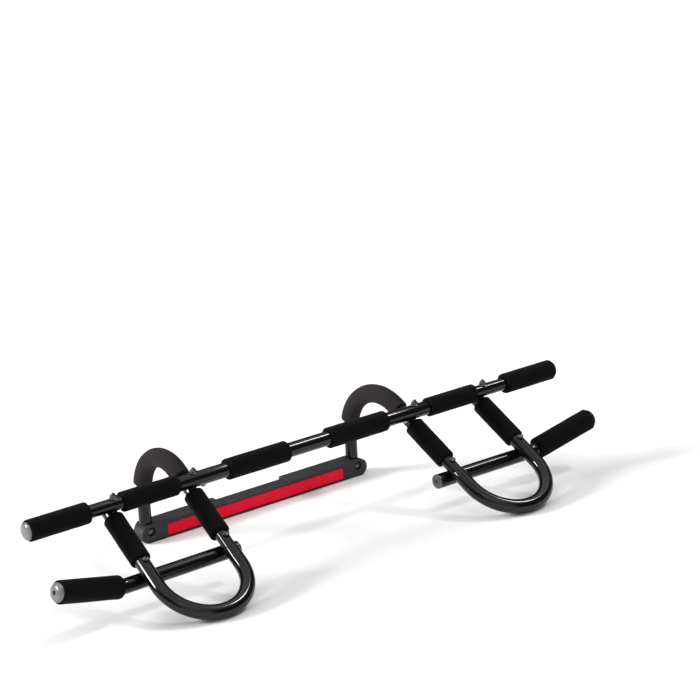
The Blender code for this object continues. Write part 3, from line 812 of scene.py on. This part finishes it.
@dataclass
class SideFrame:
    """The lines of one side frame: its two arms, its hook and its lower bar."""

    end: End
    bar: Vector
    inner_x: float = 0.2336
    outer_x: float = 0.3892
    slope: float = math.radians(30.4)
    toe_out: float = math.radians(3.78)
    straight: float = 0.1488
    lower_at: float = 0.1074
    hook_back: float = 0.1677
    hook_radius: float = 0.0791
    bar_lean: float = math.radians(6.0)
    arm_lean: float = math.radians(16.0)

    def __post_init__(self) -> None:
        """Works out the directions and the places where the arms pass under the bar."""
        self.sign = self.end.value
        forward = Vector((self.sign * math.sin(self.toe_out), -math.cos(self.toe_out), 0.0))
        self.back = -forward
        self.arm = forward * math.cos(self.slope) - Vector((0, 0, math.sin(self.slope)))
        self.under = self.back * math.sin(self.slope) - Vector((0, 0, math.cos(self.slope)))
        self.seat = THICK_R + THIN_R + GAP
        self.deep_seat = 2 * THICK_R + GAP
        drop = Vector((0, 0, self.seat / math.cos(self.slope)))
        self.inner_base = self.bar + Vector((self.sign * self.inner_x, 0, 0)) - drop
        self.outer_base = self.bar + Vector((self.sign * self.outer_x, 0, 0)) - drop

    def inner(self, along: float) -> Vector:
        """A point on the inner arm's axis."""
        return self.inner_base + self.arm * along

    def outer(self, along: float) -> Vector:
        """A point on the outer arm's axis."""
        return self.outer_base + self.arm * along

    def leaning(self, lean: float) -> Vector:
        """The upward direction of a bolt that leans forward by an angle."""
        return Vector((0.0, -math.sin(lean), math.cos(lean)))

    def handle_bend(self) -> tuple[Vector, Vector]:
        """Where the handle's two straights meet its bend.

        Returns:
            The point on the inner and the one on the outer arm.
        """
        skew = (self.outer_base - self.inner_base).dot(self.arm) / 2
        return self.inner(self.straight + skew), self.outer(self.straight - skew)

    def hook_bend(self) -> tuple[Vector, Vector, Vector]:
        """The hook's bend.

        Returns:
            Its centre, its start on the arm's line and its end on the upright.
        """
        upright = self.hook_back / math.cos(self.toe_out)
        reach = upright - self.hook_radius
        rise = reach * math.tan(self.slope) - self.hook_radius / math.cos(self.slope)
        centre = self.inner_base + self.back * reach + Vector((0, 0, rise))
        return centre, centre - self.under * self.hook_radius, centre + self.back * self.hook_radius

    def lower_axis(self) -> tuple[Vector, Vector]:
        """The lower bar's axis.

        Returns:
            Its point under the inner and its point under the outer arm.
        """
        first = self.inner(self.lower_at) + self.under * self.seat
        return first, self.outer(self.lower_at) + self.under * self.deep_seat

    def lower_point(self, x: float) -> Vector:
        """The point of the lower bar's axis at a distance from the middle."""
        first, second = self.lower_axis()
        return first.lerp(second, (self.sign * x - first.x) / (second.x - first.x))


def foam_sleeve(
    place: Vector, direction: Vector, low: float, high: float, outer: float, inner: float
) -> Form:
    """A straight foam grip with rounded ends and a slightly uneven skin.

    Args:
        place: The zero point of its lengths.
        direction: The way its lengths run.
        low: Where it starts.
        high: Where it ends.
        outer: Its outer radius.
        inner: Its bore's radius.

    Returns:
        The form.
    """
    length, rim, unevenness, waves = high - low, 0.0024, 0.00022, 60.0
    legs = [Leg(length=length - 2 * rim, steps=28)]
    form = hollow_tube(place + direction * low, direction, legs, outer, inner, rim)
    return form.dimpled(unevenness, waves)


def threaded_bolt(tip: float, seat: float, head: float = 0.003, head_r: float = HEX_R) -> Form:
    """A bolt from its threaded tip down to its domed head.

    Args:
        tip: The height of its tip.
        seat: The height of the head's flat side.
        head: The head's thickness.
        head_r: The head's radius.

    Returns:
        The form.
    """
    pitch, depth, threaded, edge, dome_steps = 0.001, 0.00034, 0.016, 0.0004, 6
    profile = [(0.0, tip), (BOLT_R * 0.72, tip), (BOLT_R - depth, tip - edge)]
    height = tip - 0.0006
    while height > max(seat, tip - threaded) + pitch:
        profile += [(BOLT_R, height - pitch * 0.25), (BOLT_R - depth, height - pitch * 0.75)]
        height -= pitch
    profile += [(BOLT_R, height - pitch * 0.2), (BOLT_R, seat), (head_r - edge, seat), (head_r, seat - edge)]
    for turn, _ in quarter_turns(dome_steps):
        profile.append((head_r * math.cos(turn), seat - 2 * edge - (head - 2 * edge) * math.sin(turn)))
    return Form.turned(profile + [(0.0, seat - head)], steps=32)


def hexagon_nut(low: float, high: float, radius: float = HEX_R) -> Form:
    """A six-sided nut with softened corners.

    Args:
        low: The height of its lower face.
        high: The height of its upper face.
        radius: The radius over its corners.

    Returns:
        The form.
    """
    form = Form()
    middle = Matrix.Translation((0, 0, (low + high) / 2))
    bmesh.ops.create_cone(
        form.mesh, cap_ends=True, segments=6, radius1=radius, radius2=radius, depth=high - low,
        matrix=middle,
    )
    return form.sewn().softened(width=0.00045, steps=3)


@dataclass
class MainBar:
    """The long bar: its tubes, grips, end caps and snap buttons."""

    bar: Vector
    half: float = 0.550
    center_half: float = 0.259
    left_slide: float = 0.006
    overlap: float = 0.079
    center_grip: tuple[float, float] = (0.0437, 0.1671)
    mid_grip: tuple[float, float] = (0.2625, 0.3678)
    outer_grip: tuple[float, float] = (0.4392, 0.5497)
    grip_r: float = 0.0178
    mid_r: float = 0.0166
    cap_r: float = 0.0150
    cap_depth: float = 0.0065
    button_x: float = 0.214

    def build(self) -> None:
        """Builds every piece of the bar."""
        across = Vector((1, 0, 0))
        start = self.bar - across * (self.center_half + self.left_slide)
        legs = [Leg(length=2 * self.center_half + self.left_slide - 2 * BAR_RIM, steps=6)]
        tube = hollow_tube(start, across, legs, THICK_R, THICK_R - WALL, BAR_RIM)
        tube.piece("main_center_tube", TUBE, ["center_tube"])
        for end in End:
            self.build_side(end, across * end.value)

    def build_side(self, end: End, out: Vector) -> None:
        """Builds one half of the bar.

        Args:
            end: Which half.
            out: The way from the middle to its end.
        """
        low = self.center_half - self.overlap
        legs = [Leg(length=self.half - low - 2 * BAR_RIM, steps=6)]
        tube = hollow_tube(self.bar + out * low, out, legs, THIN_R, THIN_R - WALL, BAR_RIM)
        tube.piece("main_end_tube_" + end.label, TUBE, ["end_tube_" + end.label])
        slide = self.left_slide if end is End.LEFT else 0.0
        grips = (
            ("center", self.center_grip, self.grip_r, THICK_R),
            ("mid", (self.mid_grip[0] + slide, self.mid_grip[1] + slide), self.mid_r, THIN_R),
            ("outer", self.outer_grip, self.grip_r, THIN_R),
        )
        for label, (near, far), outer, tube_r in grips:
            form = foam_sleeve(self.bar, out, near, far, outer, tube_r + GAP)
            form.foam_piece(f"bar_grip_{label}_{end.label}", GRIP)
        self.cap(end, out)
        self.button(end, out)

    def cap(self, end: End, out: Vector) -> None:
        """The domed cap in the end of the bar.

        Args:
            end: Which end.
            out: The way from the middle to that end.
        """
        stem, side, fullness = THIN_R - WALL - GAP, 0.0012, 0.8
        profile = [(0.0, self.cap_depth)]
        for _, turn in quarter_turns(12):
            height = (self.cap_depth - side) * math.cos(turn) + side
            profile.append((self.cap_r * math.sin(turn) ** fullness, height))
        profile += [(self.cap_r - 0.0003, GAP), (stem, GAP), (stem, -STEM_DEPTH), (0.0, -STEM_DEPTH)]
        form = Form.turned(profile).placed(self.bar + out * self.half, out)
        form.piece("bar_cap_" + end.label, SILVER if end is End.LEFT else CAP, ["bar_end_cap_" + end.label])

    def button(self, end: End, out: Vector) -> None:
        """The snap button under the bar, and its leaf.

        Args:
            end: Which half.
            out: The way from the middle to its end.
        """
        bore, flange_r, flange, slack = THIN_R - WALL, 0.0060, 0.0012, 0.0002
        rest = math.sqrt(bore**2 - flange_r**2) - GAP - slack
        tip, pin = THICK_R + TRAVEL, 0.0045
        dome = pin * 0.6
        profile = [(0.0, flange - rest), (flange_r, flange - rest), (flange_r, -rest), (pin, -rest)]
        profile.append((pin, -tip + dome))
        for _, turn in quarter_turns(9):
            profile.append((pin * math.cos(turn), -tip + dome * (1 - math.sin(turn))))
        place = self.bar + out * self.button_x
        name = "snap_button_" + end.label
        button = Form.turned(profile, steps=40).placed(place)
        button.piece("domed_" + name, STEEL, [name], "button_" + end.label)
        self.spring(end, out, place, flange_r)

    def spring(self, end: End, out: Vector, place: Vector, tip: float) -> None:
        """The folded leaf that pushes a snap button out.

        Args:
            end: Which half.
            out: The way from the middle to its end.
            place: The bar's axis at the button.
            tip: How far past the button's axis the leaf reaches.
        """
        low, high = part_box("snap_spring_" + end.label)
        leaf = Form()
        thick, fold = 0.0008, -out * 0.026
        ends = ((high.z, fold + UP * thick), (low.z + thick, fold))
        for level, corner in ends:
            run = out * tip + UP * (level - place.z) - corner
            strip = Form()
            matrix = Matrix.Translation(place + corner + run / 2 - UP * (thick / 2))
            turn = Matrix((run.normalized(), BACKWARDS, run.normalized().cross(BACKWARDS)))
            sizes = Matrix.Diagonal((run.length, high.y - low.y, thick * 0.9, 1.0))
            bmesh.ops.create_cube(strip.mesh, size=1.0, matrix=matrix @ turn.transposed().to_4x4() @ sizes)
            leaf.joined(strip)
        spring = leaf.sewn().piece("leaf_snap_spring_" + end.label, STEEL, ["snap_spring_" + end.label])
        f"snap_button_{end.label}_press"
        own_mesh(spring)


@dataclass
class SideAssembly:
    """One side's hook, handle, lower bar, grips and bolts."""

    lines: SideFrame
    joint_at: float = 0.1195
    joint_depth: float = 0.028
    tail: float = 0.022
    arm_grip_r: float = 0.01725
    inner_grip: tuple[float, float] = (-0.0028, 0.0865)
    outer_grip: tuple[float, float] = (-0.0045, 0.0895)
    sleeve_r: float = 0.0163
    sleeve_up: float = 0.0420
    sleeve_lift: float = 0.0155
    hook_foot: float = 0.0045
    lower_inner_x: float = 0.2140
    lower_bend_x: float = 0.4333
    lower_bend_r: float = 0.035
    lower_out: tuple[float, float, float] = (0.9683, -0.0788, 0.2371)
    lower_tip: float = 0.1280
    lower_grip_start: float = 0.0084
    lower_grip_r: float = 0.0190
    tip_cap_r: float = 0.0155
    tip_cap_depth: float = 0.0085
    nut: float = 0.0042
    nut_flange: float = 0.0012
    bolt_tip: float = 0.0036

    def build(self) -> None:
        """Builds every piece of the side."""
        self.hook()
        self.handle()
        self.arm_grips()
        self.lower_bar()
        self.bolts()

    @property
    def label(self) -> str:
        """The side's name."""
        return self.lines.end.label

    def hook(self) -> None:
        """The hook tube from the handle joint to the rail, and the foam on its arch."""
        lines = self.lines
        centre, start, end = lines.hook_bend()
        first = lines.inner(self.joint_at + self.joint_depth)
        axis = (start - centre).cross(-lines.arm).normalized()
        angle = (start - centre).angle(end - centre)
        legs = [
            Leg(length=(start - first).length, steps=4),
            Leg(centre=centre, axis=axis, angle=angle, steps=40),
            Leg(length=end.z - self.hook_foot, steps=2),
        ]
        tube = hollow_tube(first, -lines.arm, legs, THIN_R, THIN_R - WALL)
        tube.piece("curved_hook_tube_" + self.label, TUBE, ["hook_tube_" + self.label])
        rim = 0.0028
        upper = lines.inner_base - lines.arm * self.sleeve_up
        covered = angle - math.asin((self.sleeve_lift + rim) / lines.hook_radius)
        route = [
            Leg(length=(start - upper).length - rim, steps=8),
            Leg(centre=centre, axis=axis, angle=covered, steps=44),
        ]
        sleeve = hollow_tube(upper, -lines.arm, route, self.sleeve_r, THIN_R + GAP, rim)
        sleeve.dimpled(depth=0.0003, scale=45.0).foam_piece("hook_sleeve_" + self.label, ARCH)

    def handle(self) -> None:
        """The handle tube round its front bend, and the plug in its back end."""
        lines = self.lines
        inner_start, outer_start = lines.handle_bend()
        centre = (inner_start + outer_start) / 2
        axis = (inner_start - centre).cross(lines.arm).normalized()
        first, last = lines.inner(self.joint_at), lines.outer(-self.tail)
        legs = [
            Leg(length=(inner_start - first).length - ARM_RIM, steps=2),
            Leg(centre=centre, axis=axis, angle=math.pi, steps=64),
            Leg(length=(last - outer_start).length - ARM_RIM, steps=6),
        ]
        tube = hollow_tube(first, lines.arm, legs, THICK_R, THICK_R - WALL, ARM_RIM)
        tube.piece("looped_handle_tube_" + self.label, TUBE, ["handle_tube_" + self.label])
        plug = self.plug(0.0).placed(last, -lines.arm)
        plug.piece("flat_handle_plug_" + self.label, CAP, ["handle_plug_" + self.label])

    def plug(self, hole_r: float) -> Form:
        """A plug with a rounded flange.

        Args:
            hole_r: The radius of its blind hole, with two grooves round it. 0 leaves them out.

        Returns:
            The form.
        """
        stem, high, edge, floor, bevel = THICK_R - WALL - GAP, GAP + 0.003, 0.0012, 0.0009, 0.0003
        profile = [(0.0, high)]
        if hole_r:
            profile = [(0.0, floor), (hole_r, floor), (hole_r, high - bevel), (hole_r + bevel, high)]
            for groove in (0.0062, 0.0088):
                bottom = high - 0.0007
                profile += [(groove - 0.0005, high), (groove - bevel, bottom)]
                profile += [(groove + bevel, bottom), (groove + 0.0005, high)]
        for step in range(5):
            turn = math.pi / 2 * step / 4
            profile.append((THICK_R - edge + edge * math.sin(turn), high - edge + edge * math.cos(turn)))
        return Form.turned(profile + [(THICK_R, GAP), (stem, GAP), (stem, -STEM_DEPTH), (0.0, -STEM_DEPTH)])

    def arm_grips(self) -> None:
        """The foam on both arms."""
        lines = self.lines
        grips = (
            ("arm_grip_inner_", lines.inner_base, self.inner_grip, THIN_R),
            ("arm_grip_outer_", lines.outer_base, self.outer_grip, THICK_R),
        )
        for label, base, (low, high), tube_r in grips:
            form = foam_sleeve(base, lines.arm, low, high, self.arm_grip_r, tube_r + GAP)
            form.foam_piece(label + self.label, GRIP)

    def lower_bar(self) -> None:
        """The lower bar with its bent end, its grip and the caps in both ends."""
        lines = self.lines
        inner_end, corner = lines.lower_point(self.lower_inner_x), lines.lower_point(self.lower_bend_x)
        along = (corner - inner_end).normalized()
        x, y, z = self.lower_out
        out = Vector((lines.sign * x, y, z)).normalized()
        turn = along.angle(out)
        setback = self.lower_bend_r * math.tan(turn / 2)
        centre = corner + (out - along).normalized() * (self.lower_bend_r / math.cos(turn / 2))
        legs = [
            Leg(length=(corner - inner_end).length - setback - ARM_RIM, steps=6),
            Leg(centre=centre, axis=along.cross(out).normalized(), angle=turn, steps=8),
            Leg(length=self.lower_tip - setback - ARM_RIM, steps=4),
        ]
        tube = hollow_tube(inner_end, along, legs, THICK_R, THICK_R - WALL, ARM_RIM)
        tube.piece("angled_lower_bar_" + self.label, TUBE, ["lower_bar_" + self.label])
        near, far = self.lower_grip_start, self.lower_tip
        grip = foam_sleeve(corner, out, near, far, self.lower_grip_r, THICK_R + GAP)
        grip.foam_piece("lower_grip_" + self.label, GRIP)
        finish = SILVER if lines.end is End.LEFT else CAP
        cap = self.tip_cap().placed(corner + out * self.lower_tip, out)
        cap.piece("domed_tip_cap_" + self.label, finish, ["lower_tip_cap_" + self.label])
        plug = self.plug(HOLE_R).placed(inner_end, -along)
        plug.piece("ribbed_lower_plug_" + self.label, PLUG, ["lower_plug_" + self.label])

    def tip_cap(self) -> Form:
        """The domed cap with a blind hole in its middle.

        Returns:
            The form.
        """
        stem, depth, side, lip, fullness = THICK_R - WALL - GAP, self.tip_cap_depth, 0.0015, 0.0005, 0.85
        floor = depth * 0.4
        profile = [(0.0, floor), (HOLE_R, floor), (HOLE_R, depth - 0.0004), (HOLE_R + lip, depth)]
        for _, turn in quarter_turns(12):
            radius = HOLE_R + lip + (self.tip_cap_r - HOLE_R - lip) * math.sin(turn) ** fullness
            profile.append((radius, side + (depth - side) * math.cos(turn)))
        profile += [(self.tip_cap_r, GAP), (stem, GAP), (stem, -STEM_DEPTH), (0.0, -STEM_DEPTH)]
        return Form.turned(profile)

    def reach(self, radius: float, lean: float, flange: float) -> float:
        """How far along a leaning bolt a flange clears a sloping tube.

        Args:
            radius: The tube's radius.
            lean: The bolt's lean, in radians.
            flange: The flange's radius.

        Returns:
            The distance from the tube's axis.
        """
        tilt = self.lines.slope - lean
        return radius / math.cos(tilt) + flange * math.tan(tilt) + GAP

    def bolt(
        self, label: str, crossing: str, place: Vector, direction: Vector, head: float, seat: float
    ) -> None:
        """One bolt and its flange nut.

        Args:
            label: The bolt's group, bar or arm.
            crossing: Which crossing, inner or outer.
            place: The crossing's point on the tube under the nut.
            direction: From the head to the nut.
            head: From the place back to the head.
            seat: From the place on to the nut.
        """
        top = seat + self.nut_flange + self.nut
        ending = f"{crossing}_{self.label}"
        bolt = threaded_bolt(top + self.bolt_tip, -head).placed(place, direction)
        bolt.piece(f"threaded_{label}_bolt_{ending}", BOLT, [f"{label}_bolt_{ending}"])
        edge, collar_r, collar = seat + 0.0007, BOLT_R + 0.0022, seat + 0.0016
        rim = [(BOLT_R, seat), (NUT_FLANGE_R, seat), (NUT_FLANGE_R, edge), (collar_r, collar), (BOLT_R, collar)]
        form = Form.turned(rim, closed=True, steps=36).joined(hexagon_nut(seat + 0.0010, top))
        form.placed(place, direction).piece(f"flange_{label}_nut_{ending}", BOLT, [f"{label}_nut_{ending}"])

    def bolts(self) -> None:
        """The bolts through every crossing."""
        lines = self.lines
        drop = lines.seat / math.cos(lines.slope - lines.bar_lean)
        crossings = (("inner", lines.inner_x, THICK_R, THIN_R), ("outer", lines.outer_x, THIN_R, THICK_R))
        for crossing, x, bar_r, arm_r in crossings:
            place = lines.bar + Vector((lines.sign * x, 0, 0))
            head = drop + self.reach(arm_r, lines.bar_lean, HEX_R)
            self.bolt("bar", crossing, place, lines.leaning(lines.bar_lean), head, bar_r + GAP)
        flat = (THICK_R - WALL) * math.cos(math.pi / CAD_FACETS)
        inside = math.sqrt(flat**2 - NUT_FLANGE_R**2) - 2 * GAP
        seats = (("inner", lines.seat, THIN_R), ("outer", lines.deep_seat, THICK_R))
        for place, (crossing, seat, arm_r) in zip(lines.lower_axis(), seats):
            drop = seat / math.cos(lines.slope - lines.arm_lean)
            head = drop + self.reach(arm_r, lines.arm_lean, HEX_R)
            self.bolt("arm", crossing, place, -lines.leaning(lines.arm_lean), head, -inside)


@dataclass
class Rail:
    """The padded rail behind, with the foot of each hook tube bolted in."""

    bar: Vector
    sides: Sequence[SideFrame]
    front: float = 0.15045
    depth: float = 0.0345
    height: float = 0.0310
    step: float = 0.0035
    middle_half: float = 0.072
    end_x: float = 0.2424
    round_r: float = 0.0155
    bolt_z: float = 0.0193
    bore_r: float = 0.0080
    back_round: float = 0.0135
    bore: float = 0.00455
    strip_half: float = 0.1897
    strip_low: float = 0.0038
    strip_high: float = 0.0251
    edge: float = 0.0011
    thin_nut: float = 0.0036
    socket_floor: float = 0.0042

    def build(self) -> None:
        """Builds the rail's mouldings, its pad and its bolts."""
        self.y = self.bar.y + self.front
        for side in self.sides:
            self.end_moulding(side)
            self.bolt(side)
        self.middle()
        self.pad()

    def slab(self, outline: Sequence[tuple[float, float]], depth: float) -> Form:
        """An outline in X and Z, given depth behind the rail's front.

        Args:
            outline: Its points.
            depth: How deep it becomes.

        Returns:
            The form.
        """
        form = Form()
        verts = [form.mesh.verts.new((x, self.y, z)) for x, z in outline]
        bmesh.ops.contextual_create(form.mesh, geom=verts)
        made = bmesh.ops.extrude_face_region(form.mesh, geom=list(form.mesh.faces))["geom"]
        moved = [item for item in made if isinstance(item, bmesh.types.BMVert)]
        bmesh.ops.translate(form.mesh, vec=(0, depth, 0), verts=moved)
        return form.sewn()

    def round_off(self, form: Form, centre_x: float) -> None:
        """Carries an end moulding on to its full depth while its tip rounds off towards the back.

        Args:
            form: The moulding, not yet at its full depth.
            centre_x: Where the moulding's round tip begins.
        """
        steps, way = 8, math.copysign(1.0, centre_x)
        tip = self.round_r
        for last, turn in quarter_turns(steps):
            faces = [face for face in form.mesh.faces if face.normal.y > 0.99]
            made = bmesh.ops.extrude_face_region(form.mesh, geom=faces)["geom"]
            bmesh.ops.delete(form.mesh, geom=faces, context="FACES")
            moved = [item for item in made if isinstance(item, bmesh.types.BMVert)]
            depth = self.back_round * (math.sin(turn) - math.sin(last))
            bmesh.ops.translate(form.mesh, vec=(0, depth, 0), verts=moved)
            now = tip - self.back_round * (1 - math.cos(last))
            then = max(tip - self.back_round * (1 - math.cos(turn)), 0.001)
            ends = [vert for vert in moved if (vert.co.x - centre_x) * way > 0.00001]
            space = Matrix.Translation((-centre_x, 0, 0))
            bmesh.ops.scale(form.mesh, vec=(then / now, 1, 1), space=space, verts=ends)
            form.mesh.normal_update()
        form.sewn()

    def block(self, low: Vector, high: Vector) -> Form:
        """A box between two corners.

        Args:
            low: The lowest corner.
            high: The highest corner.

        Returns:
            The form.
        """
        form = Form()
        size = high - low
        matrix = Matrix.Translation((low + high) / 2) @ Matrix.Diagonal((*size, 1.0))
        bmesh.ops.create_cube(form.mesh, size=1.0, matrix=matrix)
        return form.sewn()

    def carve(self, form: Form, cutters: Sequence[Form]) -> Form:
        """Takes other forms out of a form.

        Args:
            form: The form to cut.
            cutters: What is taken out.

        Returns:
            The cut form.
        """
        helpers = []
        for part in (form, *cutters):
            data = bpy.data.meshes.new("helper")
            part.mesh.to_mesh(data)
            part.mesh.free()
            helper = bpy.data.objects.new("helper", data)
            bpy.context.scene.collection.objects.link(helper)
            helpers.append(helper)
        for helper in helpers[1:]:
            cut = helpers[0].modifiers.new("cut", "BOOLEAN")
            cut.operation = "DIFFERENCE"
            cut.object = helper
        bpy.context.view_layer.update()
        depsgraph = bpy.context.evaluated_depsgraph_get()
        result = bpy.data.meshes.new_from_object(helpers[0].evaluated_get(depsgraph))
        made = Form()
        made.mesh.from_mesh(result)
        bpy.data.meshes.remove(result)
        for helper in helpers:
            bpy.data.objects.remove(helper)
        return made.sewn()

    def pin_cut(self, x: float, low: float, high: float, radius: float) -> Form:
        """A round cutter along Y at the bolt's height.

        Args:
            x: Its place along the rail.
            low: Where it starts, behind the rail's front.
            high: Where it ends, behind the rail's front.
            radius: Its radius.

        Returns:
            The form.
        """
        place = Vector((x, self.y + low, self.bolt_z))
        return self.round_cut(high - low, radius).placed(place, BACKWARDS)

    def round_cut(self, length: float, radius: float) -> Form:
        """A round cutter from the origin up Z."""
        return Form.turned([(0.0, length), (radius, length), (radius, 0.0), (0.0, 0.0)], steps=48)

    def recess(self) -> Form:
        """The cutter of the pad's recess in the rail's front.

        Returns:
            The form.
        """
        low = Vector((-self.strip_half - GAP, self.y - 0.003, self.strip_low - GAP))
        return self.block(low, Vector((self.strip_half + GAP, self.y + 0.0025, self.strip_high + GAP)))

    def end_moulding(self, side: SideFrame) -> None:
        """One end moulding: a round lug with its bolt hole, and a socket for the hook tube.

        Args:
            side: The side that it stands on.
        """
        centre = Vector((self.end_x - self.round_r, self.height / 2))
        near = self.middle_half + GAP / 2
        outline = [(near, 0.0), (near, self.height)]
        for index in range(33):
            turn = math.pi / 2 - math.pi * index / 32
            x, z = self.round_r * math.cos(turn), self.height / 2 * math.sin(turn)
            outline.append((centre.x + x, centre.y + z))
        form = self.slab([(x * side.sign, z) for x, z in outline], self.depth - self.back_round)
        self.round_off(form, side.sign * centre.x)
        form.softened(self.edge, 4, 0.6)
        foot = side.hook_bend()[2]
        past = 0.01
        cutters = [
            self.round_cut(0.05, THIN_R + GAP).placed(Vector((foot.x, foot.y, self.socket_floor))),
            self.pin_cut(foot.x, -past, self.bore, self.bore_r),
            self.pin_cut(foot.x, self.depth - self.bore, self.depth + past, self.bore_r),
            self.recess(),
        ]
        node = "rail_end_" + side.end.label
        self.carve(form, cutters).piece("lugged_" + node, RAIL, [node])

    def middle(self) -> None:
        """The slimmer middle moulding."""
        half = self.middle_half - GAP / 2
        low = Vector((-half, self.y, 0.0))
        form = self.block(low, Vector((half, self.y + self.depth - self.step, self.height - self.step)))
        form = self.carve(form.softened(self.edge, 4), [self.recess()])
        form.piece("slim_rail_middle", RAIL, ["rail_middle"])

    def pad(self) -> None:
        """The red pad, let into the rail's front with a narrow dark joint round it."""
        joint = 0.0006
        low = Vector((-self.strip_half + joint, self.y, self.strip_low + joint))
        form = self.block(low, Vector((self.strip_half - joint, self.y + 0.0022, self.strip_high - joint)))
        form.softened(0.0005, 3).piece("red_rail_pad", STRIP, ["rail_strip"])

    def bolt(self, side: SideFrame) -> None:
        """The bolt through the lug and the thin nut behind it.

        Args:
            side: The side that they hold.
        """
        place = Vector((side.hook_bend()[2].x, self.y, self.bolt_z))
        seat = self.depth - self.bore + GAP
        bolt = threaded_bolt(seat + self.thin_nut + GAP, self.bore - GAP).placed(place, BACKWARDS)
        bolt.piece("domed_rail_bolt_" + side.end.label, BOLT, ["rail_bolt_" + side.end.label])
        nut = hexagon_nut(seat, seat + self.thin_nut).placed(place, BACKWARDS)
        nut.piece("thin_rail_nut_" + side.end.label, BOLT, ["rail_nut_" + side.end.label])


class Lamp(Enum):
    """The studio's soft lights: where each comes from, its strength and how wide it looks in degrees."""

    KEY = ((-0.80, 0.44, 0.40), 3.6, 18.0)
    RIM = ((0.58, -0.10, 0.80), 0.65, 7.0)
    TOP = ((-0.10, 0.05, 1.0), 1.6, 100.0)
    FRONT = ((-0.35, -0.85, 0.40), 0.6, 60.0)


@dataclass
class Studio:
    """The pale floor, the soft lights and the camera."""

    bar: Vector
    yaw: float = 0.6592
    pitch: float = 0.3068
    roll: float = -0.05
    distance: float = 4.5385
    aim_x: float = 0.1008
    aim_z: float = 0.2970
    lens: float = 139.26
    surround: float = 0.10

    def build(self) -> None:
        """Sets the floor, the lights and the camera."""
        self.floor()
        for lamp in Lamp:
            self.light(lamp)
        self.world()
        self.camera()
        bpy.context.scene.view_settings.view_transform = "Standard"

    def floor(self) -> None:
        """A wide pale floor."""
        form = Form()
        bmesh.ops.create_grid(form.mesh, x_segments=1, y_segments=1, size=40.0)
        data = bpy.data.meshes.new("floor")
        form.mesh.to_mesh(data)
        form.mesh.free()
        material = bpy.data.materials.new("pale_floor")
        material.use_nodes = True
        shader = material.node_tree.nodes["Principled BSDF"]
        shader.inputs["Base Color"].default_value = (0.93, 0.93, 0.93, 1.0)
        shader.inputs["Roughness"].default_value = 0.9
        shader.inputs["Specular IOR Level"].default_value = 0.1
        data.materials.append(material)
        floor = bpy.data.objects.new("floor", data)
        bpy.context.scene.collection.objects.link(floor)

    def light(self, kind: Lamp) -> None:
        """One even light from a direction.

        Args:
            kind: Which lamp.
        """
        source, power, spread = kind.value
        lamp = bpy.data.lights.new(kind.name.lower() + "_light", "SUN")
        lamp.energy, lamp.angle = power, math.radians(spread)
        holder = bpy.data.objects.new(lamp.name, lamp)
        holder.rotation_euler = Vector(source).to_track_quat("Z", "Y").to_euler()
        bpy.context.scene.collection.objects.link(holder)

    def world(self) -> None:
        """An even, dim surround."""
        world = bpy.data.worlds.new("surround")
        world.use_nodes = True
        background = world.node_tree.nodes["Background"]
        background.inputs["Color"].default_value = (1.0, 1.0, 1.0, 1.0)
        background.inputs["Strength"].default_value = self.surround
        bpy.context.scene.world = world

    def camera(self) -> None:
        """The camera, aimed from its yaw, pitch and roll."""
        level = Vector((math.cos(self.yaw), -math.sin(self.yaw), 0.0))
        ahead = UP.cross(level)
        forward = ahead * math.cos(self.pitch) - UP * math.sin(self.pitch)
        rise = level.cross(forward)
        right = level * math.cos(self.roll) + rise * math.sin(self.roll)
        up = rise * math.cos(self.roll) - level * math.sin(self.roll)
        lens = bpy.data.cameras.new("camera")
        lens.lens, lens.sensor_width = self.lens, 36.0
        holder = bpy.data.objects.new("camera", lens)
        turn = Matrix((right, up, -forward)).transposed().to_4x4()
        aim = Vector((self.aim_x, self.bar.y, self.aim_z))
        holder.matrix_world = Matrix.Translation(aim - forward * self.distance) @ turn
        bpy.context.scene.collection.objects.link(holder)
        bpy.context.scene.camera = holder


def dress_hidden_parts() -> None:
    """Gives the CAD nodes that stay their finish."""
    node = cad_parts["rail_core"]
    node.data.materials.clear()
    node.data.materials.append(STEEL.material())
    LOG.info("rail_core keeps its CAD shape")


def main() -> None:
    """Builds the bar, both sides, the rail and the studio."""
    logging.basicConfig(level=logging.INFO, format="%(name)s: %(message)s")
    low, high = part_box("center_tube")
    bar = Vector((0.0, (low.y + high.y) / 2, (low.z + high.z) / 2))
    sides = [SideFrame(end, bar) for end in End]
    MainBar(bar).build()
    for side in sides:
        SideAssembly(side).build()
    Rail(bar, sides).build()
    dress_hidden_parts()
    Studio(bar).build()


if __name__ == "__main__":
    main()
